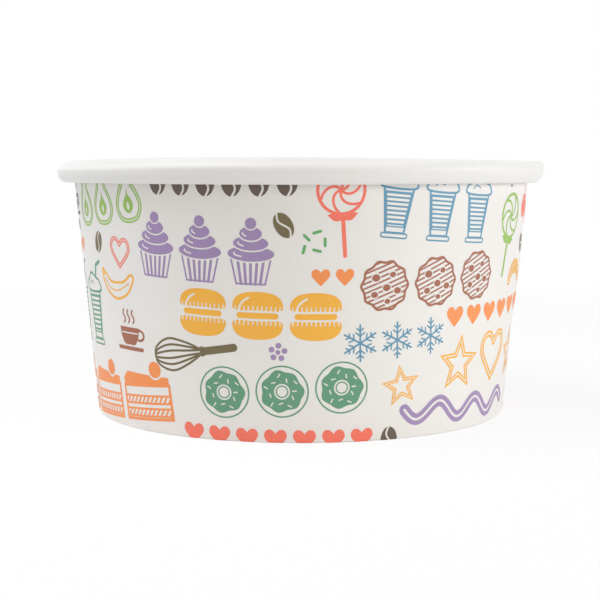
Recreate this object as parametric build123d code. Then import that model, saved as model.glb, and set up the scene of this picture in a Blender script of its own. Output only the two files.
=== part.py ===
from build123d import *

import math
import os

# A paper dessert cup, in millimetres. It stands on its foot with +Z up. The origin is
# on the axis, in the plane that the foot stands on. The side seam is at the back, +Y.
#
# Two pieces make the cup. The side wall is one fan-shaped blank of board, wrapped into
# a cone and lapped on itself. Its top edge is curled outwards into the rim, and its
# bottom edge is folded in and up as a hem. The base is a disc of thinner board with its
# edge turned down, and that skirt is held in the slot between the wall and the hem.

# Sizes of the whole cup
rim_diameter = 92.0  # over the rolled rim
foot_diameter = 77.6  # over the round of the fold at the foot
cup_height = 47.0  # from the table to the top of the rim

# Sizes of the side wall's board
side_board = 0.38  # its thickness
crown_radius = 1.72  # food side of the board, over the top of the rolled rim
roll_height = 4.17  # the rolled rim, from its top to its underside
curl_gap = 0.08  # between one turn of the rim's curl and the next
tip_angle = 12.0  # degrees that the curl goes on past its first full turn
fold_radius = 0.06  # food side of the board, in the two bends at the foot
hem_height = 5.6  # from the table to the hem's upper edge

# Sizes of the side seam
lap_width = 7.0  # board on board, measured round the foot
lap_fade = 1.7  # over which the lapped fold and curl sink back to one thickness

# Sizes of the base
base_board = 0.30  # its thickness
base_recess = 6.8  # from the table to the underside of the base
base_bend_radius = 0.30  # underside of the board, in the bend between disc and skirt
seal_film = 0.02  # melted coating on each side of the skirt
skirt_clearance = 0.9  # from the lapped fold up to the skirt's lower edge

# Where the seam lies, in degrees anticlockwise from +X as seen from above
seam_angle = 90.0
# A round stretch of a section is made of straight runs, which keeps it light when it is
# carried round the axis. Each run turns by at most this many degrees
roll_facet_angle = 36.0  # in the rolled rim
bend_facet_angle = 48.0  # in the small bends at the foot

# Worked out from the sizes above
rim_radius = rim_diameter / 2
foot_radius = foot_diameter / 2
lapped_board = 2 * side_board
slot_width = base_board + 2 * seal_film

# The wall is the line that touches the fold's round from outside and the crown's round
# from inside, so its lean follows from the two rounds.
crown_centre = Vector(rim_radius - crown_radius, cup_height - crown_radius)
foot_centre = Vector(foot_radius - fold_radius - side_board, fold_radius + side_board)
rounds_apart = crown_centre - foot_centre
lean = math.atan2(rounds_apart.X, rounds_apart.Y)
lean -= math.asin((crown_radius + fold_radius) / rounds_apart.length)
lean_angle = math.degrees(lean)
up_wall = Vector(math.sin(lean), math.cos(lean))
off_wall = Vector(math.cos(lean), -math.sin(lean))
fold_land = (slot_width - 2 * fold_radius) / math.cos(lean)


def round_corners(centre, radius, start, turn, facet_angle):
    """Corners of a round stretch of the section, from a start angle through a turn."""
    runs = math.ceil(abs(turn) / facet_angle)
    angles = [math.radians(start + turn * run / runs) for run in range(runs + 1)]
    return [centre + Vector(math.cos(a), math.sin(a)) * radius for a in angles]


def sheet_path(depth, stack):
    """Corners of the section at a depth below the board's food side, from the hem's edge
    to the curl's tip, where board of the given thickness is folded and rolled together."""
    outer_bend = foot_centre + up_wall * ((stack - side_board) / math.cos(lean))
    inner_bend = outer_bend - Vector(fold_land, 0)
    bend = fold_radius + depth
    hem_length = (hem_height - inner_bend.Y) / math.cos(lean)
    hem_edge = inner_bend - off_wall * bend + up_wall * hem_length

    # The curl's second half is narrower than its crown by one thickness of what is
    # rolled, so that it closes on the wall, and its drop makes up the roll's height.
    turn_step = stack + curl_gap
    drop = roll_height - 2 * crown_radius + turn_step / (1 + math.cos(lean))
    drop /= 1 + math.tan(lean / 2)
    under_radius = crown_radius + (drop * math.sin(lean) - turn_step) / (1 + math.cos(lean))
    under_centre = crown_centre + Vector(crown_radius - under_radius, -drop)
    over = crown_radius - depth
    under = under_radius - depth
    closing_turn = 90 + lean_angle + tip_angle
    return [
        hem_edge,
        *round_corners(inner_bend, bend, 180 - lean_angle, 90 + lean_angle, bend_facet_angle),
        *round_corners(outer_bend, bend, 270, 90 - lean_angle, bend_facet_angle),
        *round_corners(crown_centre, over, 180 - lean_angle, lean_angle - 90, roll_facet_angle),
        *round_corners(crown_centre, over, 90, -90, roll_facet_angle)[1:],
        *round_corners(under_centre, under, 0, -90, roll_facet_angle),
        *round_corners(under_centre, under, -90, -closing_turn, roll_facet_angle)[1:],
    ]


def sheet_section(near, far, stack, angle):
    """Section of the board between two depths, turned to an angle about the axis."""
    corners = sheet_path(near, stack) + sheet_path(far, stack)[::-1]
    outline = Face(Wire(Polyline(*corners, close=True)))
    return Rot(0, 0, angle) * (Plane.XZ * outline)


def swept(section, start, end):
    """The section carried round the axis from one angle to another."""
    return revolve(section, Axis.Z, revolution_arc=end - start)


def make_side_wall():
    """The wrapped blank: cone, lapped seam, curled rim and hem, all one piece."""
    lap_turn = math.degrees(lap_width / foot_radius)
    fade_turn = math.degrees(lap_fade / foot_radius)
    # Board pulled taut over the edge of the flap beneath leaves the cone as a tangent.
    ramp_turn = math.degrees(math.acos(foot_radius / (foot_radius + side_board)))
    lap_start = seam_angle - lap_turn / 2
    lap_end = seam_angle + lap_turn / 2
    fade_end = lap_end + fade_turn
    ramp_start = lap_start - ramp_turn + 360

    lap = swept(sheet_section(0, lapped_board, lapped_board, lap_start), lap_start, lap_end)
    under_flap = sheet_section(0, side_board, lapped_board, lap_end)
    single_start = sheet_section(0, side_board, side_board, fade_end)
    fade = loft([under_flap, single_start], ruled=True)
    single = swept(single_start, fade_end, ramp_start)
    single_end = sheet_section(0, side_board, side_board, ramp_start)
    over_flap = sheet_section(side_board, lapped_board, lapped_board, lap_start)
    ramp = loft([single_end, over_flap], ruled=True)
    return lap.fuse(fade, single, ramp)


def make_base_disc():
    """The bottom: a flat disc with its edge turned down into the slot at the foot."""
    outer_bend = base_bend_radius + base_board
    bend_height = base_recess - base_bend_radius
    wall_foot = foot_centre + off_wall * fold_radius
    climb = (bend_height - wall_foot.Y) * math.sin(lean)
    bend_reach = wall_foot.X + (climb - seal_film - outer_bend) / math.cos(lean)
    bend_centre = Vector(bend_reach, bend_height)
    skirt_height = bend_height - lapped_board - skirt_clearance
    skirt_length = skirt_height / math.cos(lean)

    bend_turn = 90 + lean_angle
    upper_bend = round_corners(bend_centre, outer_bend, 90, -bend_turn, bend_facet_angle)
    lower_bend = round_corners(
        bend_centre, base_bend_radius, -lean_angle, bend_turn, bend_facet_angle
    )
    outline = Polyline(
        Vector(0, base_recess + base_board),
        *upper_bend,
        upper_bend[-1] - up_wall * skirt_length,
        lower_bend[0] - up_wall * skirt_length,
        *lower_bend,
        Vector(0, base_recess),
        close=True,
    )
    return revolve(Plane.XZ * Face(Wire(outline)), Axis.Z)


pieces = {
    "side_wall": make_side_wall(),
    "base_disc": make_base_disc(),
}

os.makedirs("parts", exist_ok=True)
for name, piece in pieces.items():
    export_step(piece, f"parts/{name}.step")
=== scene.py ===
"""A paper dessert cup: its board, its print and a plain studio round it.

Sizes are in millimetres until a mesh is made, and angles round the cup are in degrees
anticlockwise from +X as seen from above. The cup stands on z = 0 with its axis on +Z, its
side seam at the back (+Y) and the camera in front (-Y).
"""

import logging
import math
import random
from dataclasses import dataclass, field
from enum import Enum, IntEnum
from typing import Any, Callable, Sequence

import bmesh
import bpy
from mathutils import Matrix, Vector, geometry


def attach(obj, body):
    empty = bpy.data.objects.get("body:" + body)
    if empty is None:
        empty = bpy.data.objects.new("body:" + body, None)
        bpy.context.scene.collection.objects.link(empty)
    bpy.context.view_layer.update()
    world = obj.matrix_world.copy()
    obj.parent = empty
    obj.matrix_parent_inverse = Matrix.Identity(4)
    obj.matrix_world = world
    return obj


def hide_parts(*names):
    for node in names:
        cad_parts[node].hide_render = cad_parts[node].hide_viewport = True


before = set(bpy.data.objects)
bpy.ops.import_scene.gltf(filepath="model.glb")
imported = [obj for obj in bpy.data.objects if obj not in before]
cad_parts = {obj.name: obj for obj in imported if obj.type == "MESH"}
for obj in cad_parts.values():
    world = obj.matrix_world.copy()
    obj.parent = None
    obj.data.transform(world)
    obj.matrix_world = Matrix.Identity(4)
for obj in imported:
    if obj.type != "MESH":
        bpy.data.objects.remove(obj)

log = logging.getLogger("dessert_cup")

MM = 0.001
Colour = tuple[float, float, float, float]
Outline = list[complex]


def srgb(red: int, green: int, blue: int) -> Colour:
    """A colour mixed as it is seen on a screen, in the shader's linear terms.

    Args:
        red, green, blue: Parts from 0 to 255.

    Returns:
        The linear colour with full cover.
    """
    parts = [part / 255 for part in (red, green, blue)]
    linear = [p / 12.92 if p <= 0.04045 else ((p + 0.055) / 1.055) ** 2.4 for p in parts]
    return (*linear, 1.0)


def ease(low: float, high: float, value: float) -> float:
    """How far a value has gone from low to high, as a share with soft ends."""
    part = min(max((value - low) / (high - low), 0.0), 1.0)
    return part * part * (3 - 2 * part)


class Shade:
    """A socket of a material. Arithmetic on it adds Math nodes."""

    def __init__(self, sheet: "NodeSheet", socket: bpy.types.NodeSocket) -> None:
        """Keep the socket and the sheet of nodes that it is on."""
        self.sheet = sheet
        self.socket = socket

    def _math(self, operation: str, first: Any, second: Any) -> "Shade":
        """One Math node on two values."""
        return self.sheet.add("ShaderNodeMath", {"operation": operation}, {0: first, 1: second})

    def __add__(self, other: "Shade | float") -> "Shade":
        """Sum."""
        return self._math("ADD", self, other)

    def __radd__(self, other: float) -> "Shade":
        """Sum with a number in front."""
        return self._math("ADD", other, self)

    def __sub__(self, other: "Shade | float") -> "Shade":
        """Difference."""
        return self._math("SUBTRACT", self, other)

    def __rsub__(self, other: float) -> "Shade":
        """Difference from a number."""
        return self._math("SUBTRACT", other, self)

    def __mul__(self, other: "Shade | float") -> "Shade":
        """Product."""
        return self._math("MULTIPLY", self, other)

    def __rmul__(self, other: float) -> "Shade":
        """Product with a number in front."""
        return self._math("MULTIPLY", other, self)


class NodeSheet:
    """The nodes of one material or of the world."""

    def __init__(self, tree: bpy.types.NodeTree) -> None:
        """Start on an empty sheet."""
        tree.nodes.clear()
        self.tree = tree

    def add(
        self,
        kind: str,
        settings: dict[str, Any] | None = None,
        inputs: dict[int | str, Any] | None = None,
        output: int | str = 0,
    ) -> Shade | None:
        """Add a node.

        Args:
            kind: The node's type.
            settings: What the node itself is set to, before its sockets.
            inputs: Values or links of its sockets.
            output: Which of its sockets is wanted.

        Returns:
            The wanted socket, or None for a node that has none.
        """
        node = self.tree.nodes.new(kind)
        for name, value in (settings or {}).items():
            setattr(node, name, value)
        for name, value in (inputs or {}).items():
            if isinstance(value, Shade):
                self.tree.links.new(value.socket, node.inputs[name])
            else:
                node.inputs[name].default_value = value
        return Shade(self, node.outputs[output]) if node.outputs else None

    def mix(self, factor: Shade | float, first: Any, second: Any) -> Shade:
        """A blend of two colours."""
        inputs = {0: factor, 6: first, 7: second}
        return self.add("ShaderNodeMix", {"data_type": "RGBA"}, inputs, output=2)

    def grain(
        self, size: float, detail: float = 2.0, stretch: Sequence[float] = (1, 1, 1)
    ) -> Shade:
        """Noise fixed to the object.

        Args:
            size: Rough size of its spots in millimetres.
            detail: How many finer layers it has.
            stretch: How its spots are squeezed along each axis.

        Returns:
            A value around one half.
        """
        place = self.add("ShaderNodeTexCoord", output="Object")
        stretched = {0: place, 1: tuple(stretch)}
        place = self.add("ShaderNodeVectorMath", {"operation": "MULTIPLY"}, stretched)
        inputs = {"Vector": place, "Scale": 1 / (size * MM), "Detail": detail, "Roughness": 0.55}
        return self.add("ShaderNodeTexNoise", inputs=inputs, output=0)

    def relief(self, height: Shade) -> Shade:
        """Normals of a surface that stands proud by a height in millimetres."""
        return self.add("ShaderNodeBump", inputs={"Distance": MM, "Height": height})

    def shown(self) -> Shade:
        """Tell the rays that show what they meet, straight, mirrored or through glass.

        Returns:
            One for such a ray, and 0 for light that falls on something.
        """
        rays = ("Is Camera Ray", "Is Glossy Ray", "Is Transmission Ray")
        straight, mirror, through = (self.add("ShaderNodeLightPath", output=ray) for ray in rays)
        both = self.add("ShaderNodeMath", {"operation": "MAXIMUM"}, {0: mirror, 1: through})
        return self.add("ShaderNodeMath", {"operation": "MAXIMUM"}, {0: straight, 1: both})

    def surface(self, shader: Shade) -> None:
        """Use a shader as the material's surface."""
        self.add("ShaderNodeOutputMaterial", inputs={"Surface": shader})


def new_material(name: str) -> tuple[bpy.types.Material, NodeSheet]:
    """Start a material.

    Args:
        name: Its name.

    Returns:
        The material and its empty sheet of nodes.
    """
    material = bpy.data.materials.new(name)
    material.use_nodes = True
    return material, NodeSheet(material.node_tree)


@dataclass(frozen=True)
class BoardFinish:
    """Smooth white paperboard under a thin coating.

    Attributes:
        name: Name of the material.
        colour: Colour of the board.
        shadow_colour: Colour of its faint darker clouds.
        roughness: How matt the coating is.
        sheen: How much it mirrors, where one half is a hard varnish.
        cloud_size: Size of the clouds, in millimetres.
        cloud_share: How much of the colour's change is theirs; the rest is the fibres'.
        cloud_matt: By how much they make the coating more or less matt.
        fibre_size: Size of the finest grain, in millimetres.
        fibre_depth: Its height.
        fibre_matt: By how much it makes the coating more or less matt.
        ripple_size: Size of the slow unevenness under it, in millimetres.
        ripple_depth: Its height.
    """

    name: str
    colour: Colour
    shadow_colour: Colour
    roughness: float = 0.42
    sheen: float = 0.3
    cloud_size: float = 9.0
    cloud_share: float = 0.75
    cloud_matt: float = 0.06
    fibre_size: float = 0.42
    fibre_depth: float = 0.0035
    fibre_matt: float = 0.10
    ripple_size: float = 5.5
    ripple_depth: float = 0.012

    def material(self) -> bpy.types.Material:
        """Mix the finish.

        Returns:
            The material.
        """
        material, sheet = new_material(self.name)
        clouds = sheet.grain(self.cloud_size, detail=3.0)
        fibres = sheet.grain(self.fibre_size, detail=3.0, stretch=(1, 1, 0.45))
        ripple = sheet.grain(self.ripple_size, detail=1.0)
        blend = clouds * self.cloud_share + fibres * (1 - self.cloud_share)
        tint = sheet.mix(blend, self.shadow_colour, self.colour)
        matt = self.roughness + (fibres - 0.5) * self.fibre_matt + (clouds - 0.5) * self.cloud_matt
        shader = sheet.add(
            "ShaderNodeBsdfPrincipled",
            inputs={
                "Base Color": tint,
                "Roughness": matt,
                "Specular IOR Level": self.sheen,
                "Normal": sheet.relief(fibres * self.fibre_depth + ripple * self.ripple_depth),
            },
        )
        sheet.surface(shader)
        return material


@dataclass(frozen=True)
class CutEdgeFinish:
    """The raw, fibrous edge where board was cut.

    Attributes:
        name: Name of the material.
        colour: Colour of the pale fibres.
        fibre_colour: Colour of the darker ones between them.
        fibre_size: Size of a fibre, in millimetres.
        fibre_depth: Its height.
        roughness: How matt the pale fibres are.
        fibre_matt: How much more matt the darker ones are.
    """

    name: str
    colour: Colour = srgb(236, 231, 221)
    fibre_colour: Colour = srgb(205, 197, 182)
    fibre_size: float = 0.12
    fibre_depth: float = 0.03
    roughness: float = 0.8
    fibre_matt: float = 0.15

    def material(self) -> bpy.types.Material:
        """Mix the finish.

        Returns:
            The material.
        """
        material, sheet = new_material(self.name)
        fibres = sheet.grain(self.fibre_size, detail=3.0)
        shader = sheet.add(
            "ShaderNodeBsdfPrincipled",
            inputs={
                "Base Color": sheet.mix(fibres, self.fibre_colour, self.colour),
                "Roughness": self.roughness + fibres * self.fibre_matt,
                "Normal": sheet.relief(fibres * self.fibre_depth),
            },
        )
        sheet.surface(shader)
        return material


class Ink(Enum):
    """The inks of the print, by name and colour."""

    SAGE = srgb(86, 150, 116)
    OCHRE = srgb(250, 180, 38)
    CORAL = srgb(250, 112, 88)
    STEEL_BLUE = srgb(82, 146, 178)
    ORANGE = srgb(248, 142, 62)
    PURPLE = srgb(158, 132, 180)
    DARK_BROWN = srgb(88, 68, 54)
    LIME = srgb(146, 190, 72)
    FRESH_GREEN = srgb(84, 168, 92)
    OLIVE = srgb(104, 90, 46)
    RED_BROWN = srgb(160, 88, 54)

    @property
    def piece_name(self) -> str:
        """Name of the piece that holds this ink's marks."""
        return f"print_{self.name.lower()}"


@dataclass(frozen=True)
class InkFinish:
    """A flat ink on coated board, a little uneven in its cover.

    Attributes:
        ink: Which ink it is.
        board: Colour of the board under it.
        thin_cover: How far the thin spots fade towards the board.
        spot_size: Size of the spots, in millimetres.
        spot_share: How much of the fading is theirs; the rest is that of slow clouds.
        spot_depth: Their height in millimetres.
        spot_matt: How much more matt they are.
        cloud_size: Size of the clouds, in millimetres.
        roughness: How matt the ink is.
    """

    ink: Ink
    board: Colour = srgb(240, 238, 234)
    thin_cover: float = 0.09
    spot_size: float = 0.5
    spot_share: float = 0.6
    spot_depth: float = 0.004
    spot_matt: float = 0.1
    cloud_size: float = 7.0
    roughness: float = 0.44

    def material(self) -> bpy.types.Material:
        """Mix the finish.

        Returns:
            The material.
        """
        material, sheet = new_material(f"ink_{self.ink.name.lower()}")
        pairs = zip(self.ink.value, self.board)
        faded = tuple(inked + (bare - inked) * self.thin_cover for inked, bare in pairs)
        spots = sheet.grain(self.spot_size, detail=3.0)
        clouds = sheet.grain(self.cloud_size, detail=2.0)
        cover = spots * self.spot_share + clouds * (1 - self.spot_share)
        shader = sheet.add(
            "ShaderNodeBsdfPrincipled",
            inputs={
                "Base Color": sheet.mix(cover, faded, self.ink.value),
                "Roughness": self.roughness + spots * self.spot_matt,
                "Normal": sheet.relief(spots * self.spot_depth),
            },
        )
        sheet.surface(shader)
        return material


@dataclass(frozen=True)
class FloorFinish:
    """A white card on a darker table. It shows white and still takes the cup's shadow.

    Attributes:
        name: Name of the material.
        card: Where the card starts to give way to the table, and where it has, in metres.
        card_colour: Colour of the card.
        table_colour: Colour of the table.
        shadow_share: How much of what is seen of the card is lit, and not plain white.
    """

    name: str = "studio_floor"
    card: tuple[float, float] = (0.18, 0.32)
    card_colour: Colour = srgb(242, 242, 242)
    table_colour: Colour = srgb(97, 97, 97)
    shadow_share: float = 0.13

    def material(self) -> bpy.types.Material:
        """Mix the finish.

        Returns:
            The material.
        """
        material, sheet = new_material(self.name)
        place = sheet.add("ShaderNodeTexCoord", output="Object")
        length = sheet.add("ShaderNodeVectorMath", {"operation": "LENGTH"}, {0: place}, "Value")
        reach = {"Value": length, "From Min": self.card[0], "From Max": self.card[1]}
        table = sheet.add("ShaderNodeMapRange", {"interpolation_type": "SMOOTHSTEP"}, reach)
        paint = sheet.mix(table, self.card_colour, self.table_colour)
        shown = sheet.shown()
        paint = sheet.mix(shown, paint, (1, 1, 1, 1))
        lit = sheet.add("ShaderNodeBsdfDiffuse", inputs={"Color": paint})
        white = sheet.add("ShaderNodeEmission", inputs={"Color": (1, 1, 1, 1), "Strength": 1.0})
        plain = shown * (1 - self.shadow_share * (1 - table))
        sheet.surface(sheet.add("ShaderNodeMixShader", inputs={0: plain, 1: lit, 2: white}))
        return material


def turned(centre: Vector, radius: float, start: float, turn: float, steps: int) -> list[Vector]:
    """Points on an arc of the section, from a start angle through a turn, both in degrees."""
    angles = [math.radians(start + turn * step / steps) for step in range(steps + 1)]
    return [centre + Vector((math.cos(a), math.sin(a))) * radius for a in angles]


def apart(angle: float, other: float) -> float:
    """How far two angles are from each other round the cup."""
    return abs((angle - other + 180) % 360 - 180)


def between(first: Vector, last: Vector, steps: int) -> list[Vector]:
    """Points inside a straight run, without its ends."""
    return [first.lerp(last, step / steps) for step in range(1, steps)]


@dataclass(frozen=True)
class CupSizes:
    """Sizes of the cup, the same as those of its solids.

    Attributes:
        rim_diameter: Over the rolled rim.
        foot_diameter: Over the fold at the foot.
        cup_height: From the table to the top of the rim.
        side_board: Thickness of the side wall's board.
        crown_radius: Outer radius of the roll's upper round.
        roll_height: Height of the rolled rim.
        curl_gap: Room between the curl's tip and the sheet that it meets.
        tip_angle: How far the curl goes on past the wall's direction, in degrees.
        fold_radius: Inner radius of the bends at the foot.
        hem_height: Height of the folded hem above the table.
        lap_width: Width of the lapped seam.
        lap_fade: Over what width the lap sinks back to one thickness.
        base_board: Thickness of the bottom's board.
        base_recess: Height of the bottom's underside above the table.
        base_bend_radius: Inner radius of the bend where its edge turns down.
        seal_film: Room for the seal on each side of its skirt.
        skirt_clearance: Height of the skirt's edge above the fold.
        seam_angle: Where the seam is.
    """

    rim_diameter: float = 92.0
    foot_diameter: float = 77.6
    cup_height: float = 47.0
    side_board: float = 0.38
    crown_radius: float = 1.72
    roll_height: float = 4.17
    curl_gap: float = 0.08
    tip_angle: float = 12.0
    fold_radius: float = 0.06
    hem_height: float = 5.6
    lap_width: float = 7.0
    lap_fade: float = 1.7
    base_board: float = 0.30
    base_recess: float = 6.8
    base_bend_radius: float = 0.30
    seal_film: float = 0.02
    skirt_clearance: float = 0.9
    seam_angle: float = 90.0

    @property
    def foot_radius(self) -> float:
        """Distance from the axis to the fold's outside."""
        return self.foot_diameter / 2

    @property
    def crown_centre(self) -> Vector:
        """Middle of the rolled rim's upper round."""
        corner = Vector((self.rim_diameter / 2, self.cup_height))
        return corner - Vector((1, 1)) * self.crown_radius

    @property
    def foot_centre(self) -> Vector:
        """Middle of the round at the fold."""
        rise = self.fold_radius + self.side_board
        return Vector((self.foot_radius - rise, rise))

    @property
    def lean(self) -> float:
        """Angle between the wall and the axis.

        Returns:
            The angle in radians.
        """
        span = self.crown_centre - self.foot_centre
        reach = (self.crown_radius + self.fold_radius) / span.length
        return math.atan2(span.x, span.y) - math.asin(reach)

    @property
    def up_wall(self) -> Vector:
        """Direction up the wall in the section."""
        return Vector((math.sin(self.lean), math.cos(self.lean)))

    @property
    def off_wall(self) -> Vector:
        """Direction out of the wall in the section."""
        return Vector((math.cos(self.lean), -math.sin(self.lean)))

    @property
    def fold_land(self) -> float:
        """Flat stretch between the two bends of the fold."""
        slot = self.base_board + 2 * self.seal_film
        return (slot - 2 * self.fold_radius) / math.cos(self.lean)


@dataclass(frozen=True)
class RollForm:
    """How the rolled rim differs from a true round at one place, in millimetres.

    Attributes:
        slope: How deep its upper outside is flattened into a slope.
        shoulder: How far its upper outside is pushed out into a shoulder.
        tuck: How far its lower outside is tucked in towards the wall.
        squeeze: How far its underside is pressed up.
    """

    slope: float = 0.0
    shoulder: float = 0.0
    tuck: float = 0.0
    squeeze: float = 0.0


class WallFace(IntEnum):
    """What the side wall's faces are, in the order of its finishes."""

    FOOD = 0
    PRINTED = 1
    CUT = 2


class BaseFace(IntEnum):
    """What the bottom's faces are, in the order of its finishes."""

    BOARD = 0
    CUT = 1


def along_span(span: tuple[float, float], share: float) -> float:
    """The place at a share of a span, which is given as its start and its length."""
    return span[0] + span[1] * share


@dataclass(frozen=True)
class WallChart:
    """Where the side wall's faces lie on its flat chart, which is 1 wide and 1 high.

    Attributes:
        side: Start and length of the blank across the chart.
        food: Start and length of its food side up the chart.
        printed: The same of its print side.
        curl_edge: From where to where up the chart the cut edge at the curl's tip is.
        hem_edge: The same of the cut edge at the hem.
        flaps: Where across the chart the cut edges of the two flaps are.
        flap_width: How wide each of these is.
        flap_rise: Their start and length up the chart.
    """

    side: tuple[float, float] = (0.01, 0.98)
    food: tuple[float, float] = (0.01, 0.46)
    printed: tuple[float, float] = (0.52, 0.46)
    curl_edge: tuple[float, float] = (0.485, 0.49)
    hem_edge: tuple[float, float] = (0.50, 0.505)
    flaps: tuple[float, float] = (0.001, 0.006)
    flap_width: float = 0.002
    flap_rise: tuple[float, float] = (0.01, 0.9)


@dataclass
class SideWall:
    """The wrapped blank: wall, lapped seam, rolled rim and hem in one sheet.

    Attributes:
        sizes: Sizes of the cup.
        film: Coating between the lapped flaps.
        rim_wave: How far the rim strays from a true circle and a true level.
        wave_lobes: How many times round the cup each part of that goes in and out.
        wave_climb: Heights from which and up to which it grows.
        wave_total: What the waves add up to where the rim strays that far.
        slope: How deep the roll's upper outside is flattened on its front and left.
        slope_angle: Where round the cup that is deepest.
        slope_spread: How far from there it begins to fade, and how far off it has.
        slope_loss: What share of it fades.
        shoulder: How far the roll's upper outside is pushed out on its right.
        tuck: How far the roll's lower outside is tucked in, on its left and on its right.
        tuck_climb: Shares of the roll's height between which the tuck fades.
        squeeze: How far the roll's underside is pressed up on its front and back.
        squeeze_gain: How much farther it is pressed up on its left and right, as a share.
        squeeze_climb: Shares of the roll's height between which that fades.
        belly: How far the wall bulges out on its right.
        belly_spread: Cosines of the angles from the right between which the belly grows.
        belly_climb: Heights from which and up to which it grows.
        belly_fade: Heights from which and up to which it fades.
        swell: How much the roll bulges upwards, where it does most.
        swell_angle: Where round the cup that is.
        swell_spread: How far round the cup it fades away.
        swell_climb: Heights from which and up to which it grows.
        bend_steps: Runs of each bend of the fold.
        crown_steps: Runs of each half of the roll's upper round, and of the wall.
        curl_steps: Runs of the curl.
        edge_steps: Runs of the hem, and of the roll's straight outside.
        wide_step: Greatest angle between two sections where the sheet lies single.
        fine_step: Greatest angle between two sections at the seam.
        ink_press: What share of its height the ink loses under the fold.
        ink_press_run: Over what length it loses that.
        chart: Where its faces lie on its flat chart.
    """

    sizes: CupSizes
    film: float = 0.012
    rim_wave: float = 0.03
    wave_lobes: tuple[int, ...] = (2, 3, 4, 6, 7, 9)
    wave_climb: tuple[float, float] = (8.0, 45.0)
    wave_total: float = 2.2
    slope: float = 0.42
    slope_angle: float = 222.0
    slope_spread: tuple[float, float] = (55.0, 105.0)
    slope_loss: float = 0.85
    shoulder: float = 0.34
    tuck: tuple[float, float] = (0.35, 0.8)
    tuck_climb: tuple[float, float] = (0.05, 0.62)
    squeeze: float = 0.13
    squeeze_gain: float = 1.2
    squeeze_climb: tuple[float, float] = (0.0, 0.5)
    belly: float = 0.3
    belly_spread: tuple[float, float] = (0.45, 1.0)
    belly_climb: tuple[float, float] = (14.0, 24.0)
    belly_fade: tuple[float, float] = (41.0, 45.0)
    swell: float = 0.36
    swell_angle: float = 259.0
    swell_spread: float = 66.0
    swell_climb: tuple[float, float] = (43.6, 46.6)
    bend_steps: int = 8
    crown_steps: int = 12
    curl_steps: int = 28
    edge_steps: int = 4
    wide_step: float = 1.1
    fine_step: float = 0.6
    ink_press: float = 0.6
    ink_press_run: float = 0.5
    chart: WallChart = WallChart()

    def __post_init__(self) -> None:
        """Work out the angles between which the sheet lies single or lapped."""
        s = self.sizes
        lap = math.degrees(s.lap_width / s.foot_radius)
        ramp = math.degrees(math.acos(s.foot_radius / (s.foot_radius + s.side_board)))
        self.inner_edge = s.seam_angle - lap / 2
        self.outer_edge = s.seam_angle + lap / 2 + 360
        self.fade_end = self.outer_edge - 360 + math.degrees(s.lap_fade / s.foot_radius)
        self.ramp_start = self.inner_edge + 360 - ramp
        chance = random.Random(11)
        self.waves = [
            (lobes, chance.uniform(0.5, 1.0) / lobes**0.5, chance.uniform(0, math.tau))
            for lobes in self.wave_lobes
        ]

    def lay(self, angle: float) -> tuple[float, float]:
        """How the sheet lies at an angle.

        Args:
            angle: Angle along the sheet, from its inner to its outer edge.

        Returns:
            Depth of its food side under the cup's, and thickness of what is rolled there.
        """
        s = self.sizes
        lapped = 2 * s.side_board + self.film
        if angle <= self.fade_end:
            fade = ease(self.outer_edge - 360, self.fade_end, angle)
            return 0.0, lapped + (s.side_board - lapped) * fade
        if angle <= self.ramp_start:
            return 0.0, s.side_board
        away = math.radians(min(angle, self.inner_edge + 360) - self.ramp_start)
        rise = s.foot_radius * (1 / math.cos(away) - 1)
        depth = rise * (s.side_board + self.film) / s.side_board
        return depth, s.side_board + depth

    def section(self, depth: float, stack: float, form: RollForm = RollForm()) -> list[Vector]:
        """Points of the section from the hem's edge to the curl's tip.

        Args:
            depth: Depth below the cup's food side.
            stack: Thickness of what is folded and rolled together.
            form: How the roll differs from a true round.

        Returns:
            Points as distance from the axis and height.
        """
        s = self.sizes
        lean, tilt = s.lean, math.degrees(s.lean)
        outer_bend = s.foot_centre + s.up_wall * ((stack - s.side_board) / math.cos(lean))
        inner_bend = outer_bend - Vector((s.fold_land, 0))
        bend = s.fold_radius + depth
        hem_length = (s.hem_height - inner_bend.y) / math.cos(lean)
        hem_edge = inner_bend - s.off_wall * bend + s.up_wall * hem_length
        turn_step = stack + s.curl_gap
        drop = s.roll_height - 2 * s.crown_radius + turn_step / (1 + math.cos(lean))
        drop /= 1 + math.tan(lean / 2)
        under_radius = s.crown_radius + (drop * math.sin(lean) - turn_step) / (1 + math.cos(lean))
        under_centre = s.crown_centre + Vector((s.crown_radius - under_radius, -drop))
        over = s.crown_radius - depth
        under = under_radius - depth

        inner = turned(inner_bend, bend, 180 - tilt, 90 + tilt, self.bend_steps)
        outer = turned(outer_bend, bend, 270, 90 - tilt, self.bend_steps)
        crown = turned(s.crown_centre, over, 180 - tilt, tilt - 90, self.crown_steps)
        brow = turned(s.crown_centre, over, 90, -90, self.crown_steps)[1:]
        for step, point in enumerate(brow):
            turn = math.sin(math.pi * (step + 1) / self.crown_steps)
            push = form.shoulder * turn**2 - form.slope * turn**1.5
            brow[step] = point + (point - s.crown_centre).normalized() * push
        curl = turned(under_centre, under, 0, -180 - tilt - s.tip_angle, self.curl_steps)
        rolled = [*brow, *between(brow[-1], curl[0], self.edge_steps), *curl]
        for point in rolled:
            reach = max(0.0, point.x - s.crown_centre.x) / s.crown_radius
            level = (point.y - s.cup_height) / s.roll_height + 1
            point.x -= form.tuck * reach * (1 - ease(*self.tuck_climb, level))
            point.y += form.squeeze * (1 - ease(*self.squeeze_climb, level))
        hem = [hem_edge, *between(hem_edge, inner[0], self.edge_steps)]
        wall = between(outer[-1], crown[0], self.crown_steps)
        return [*hem, *inner, *outer, *wall, *crown, *rolled]

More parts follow.
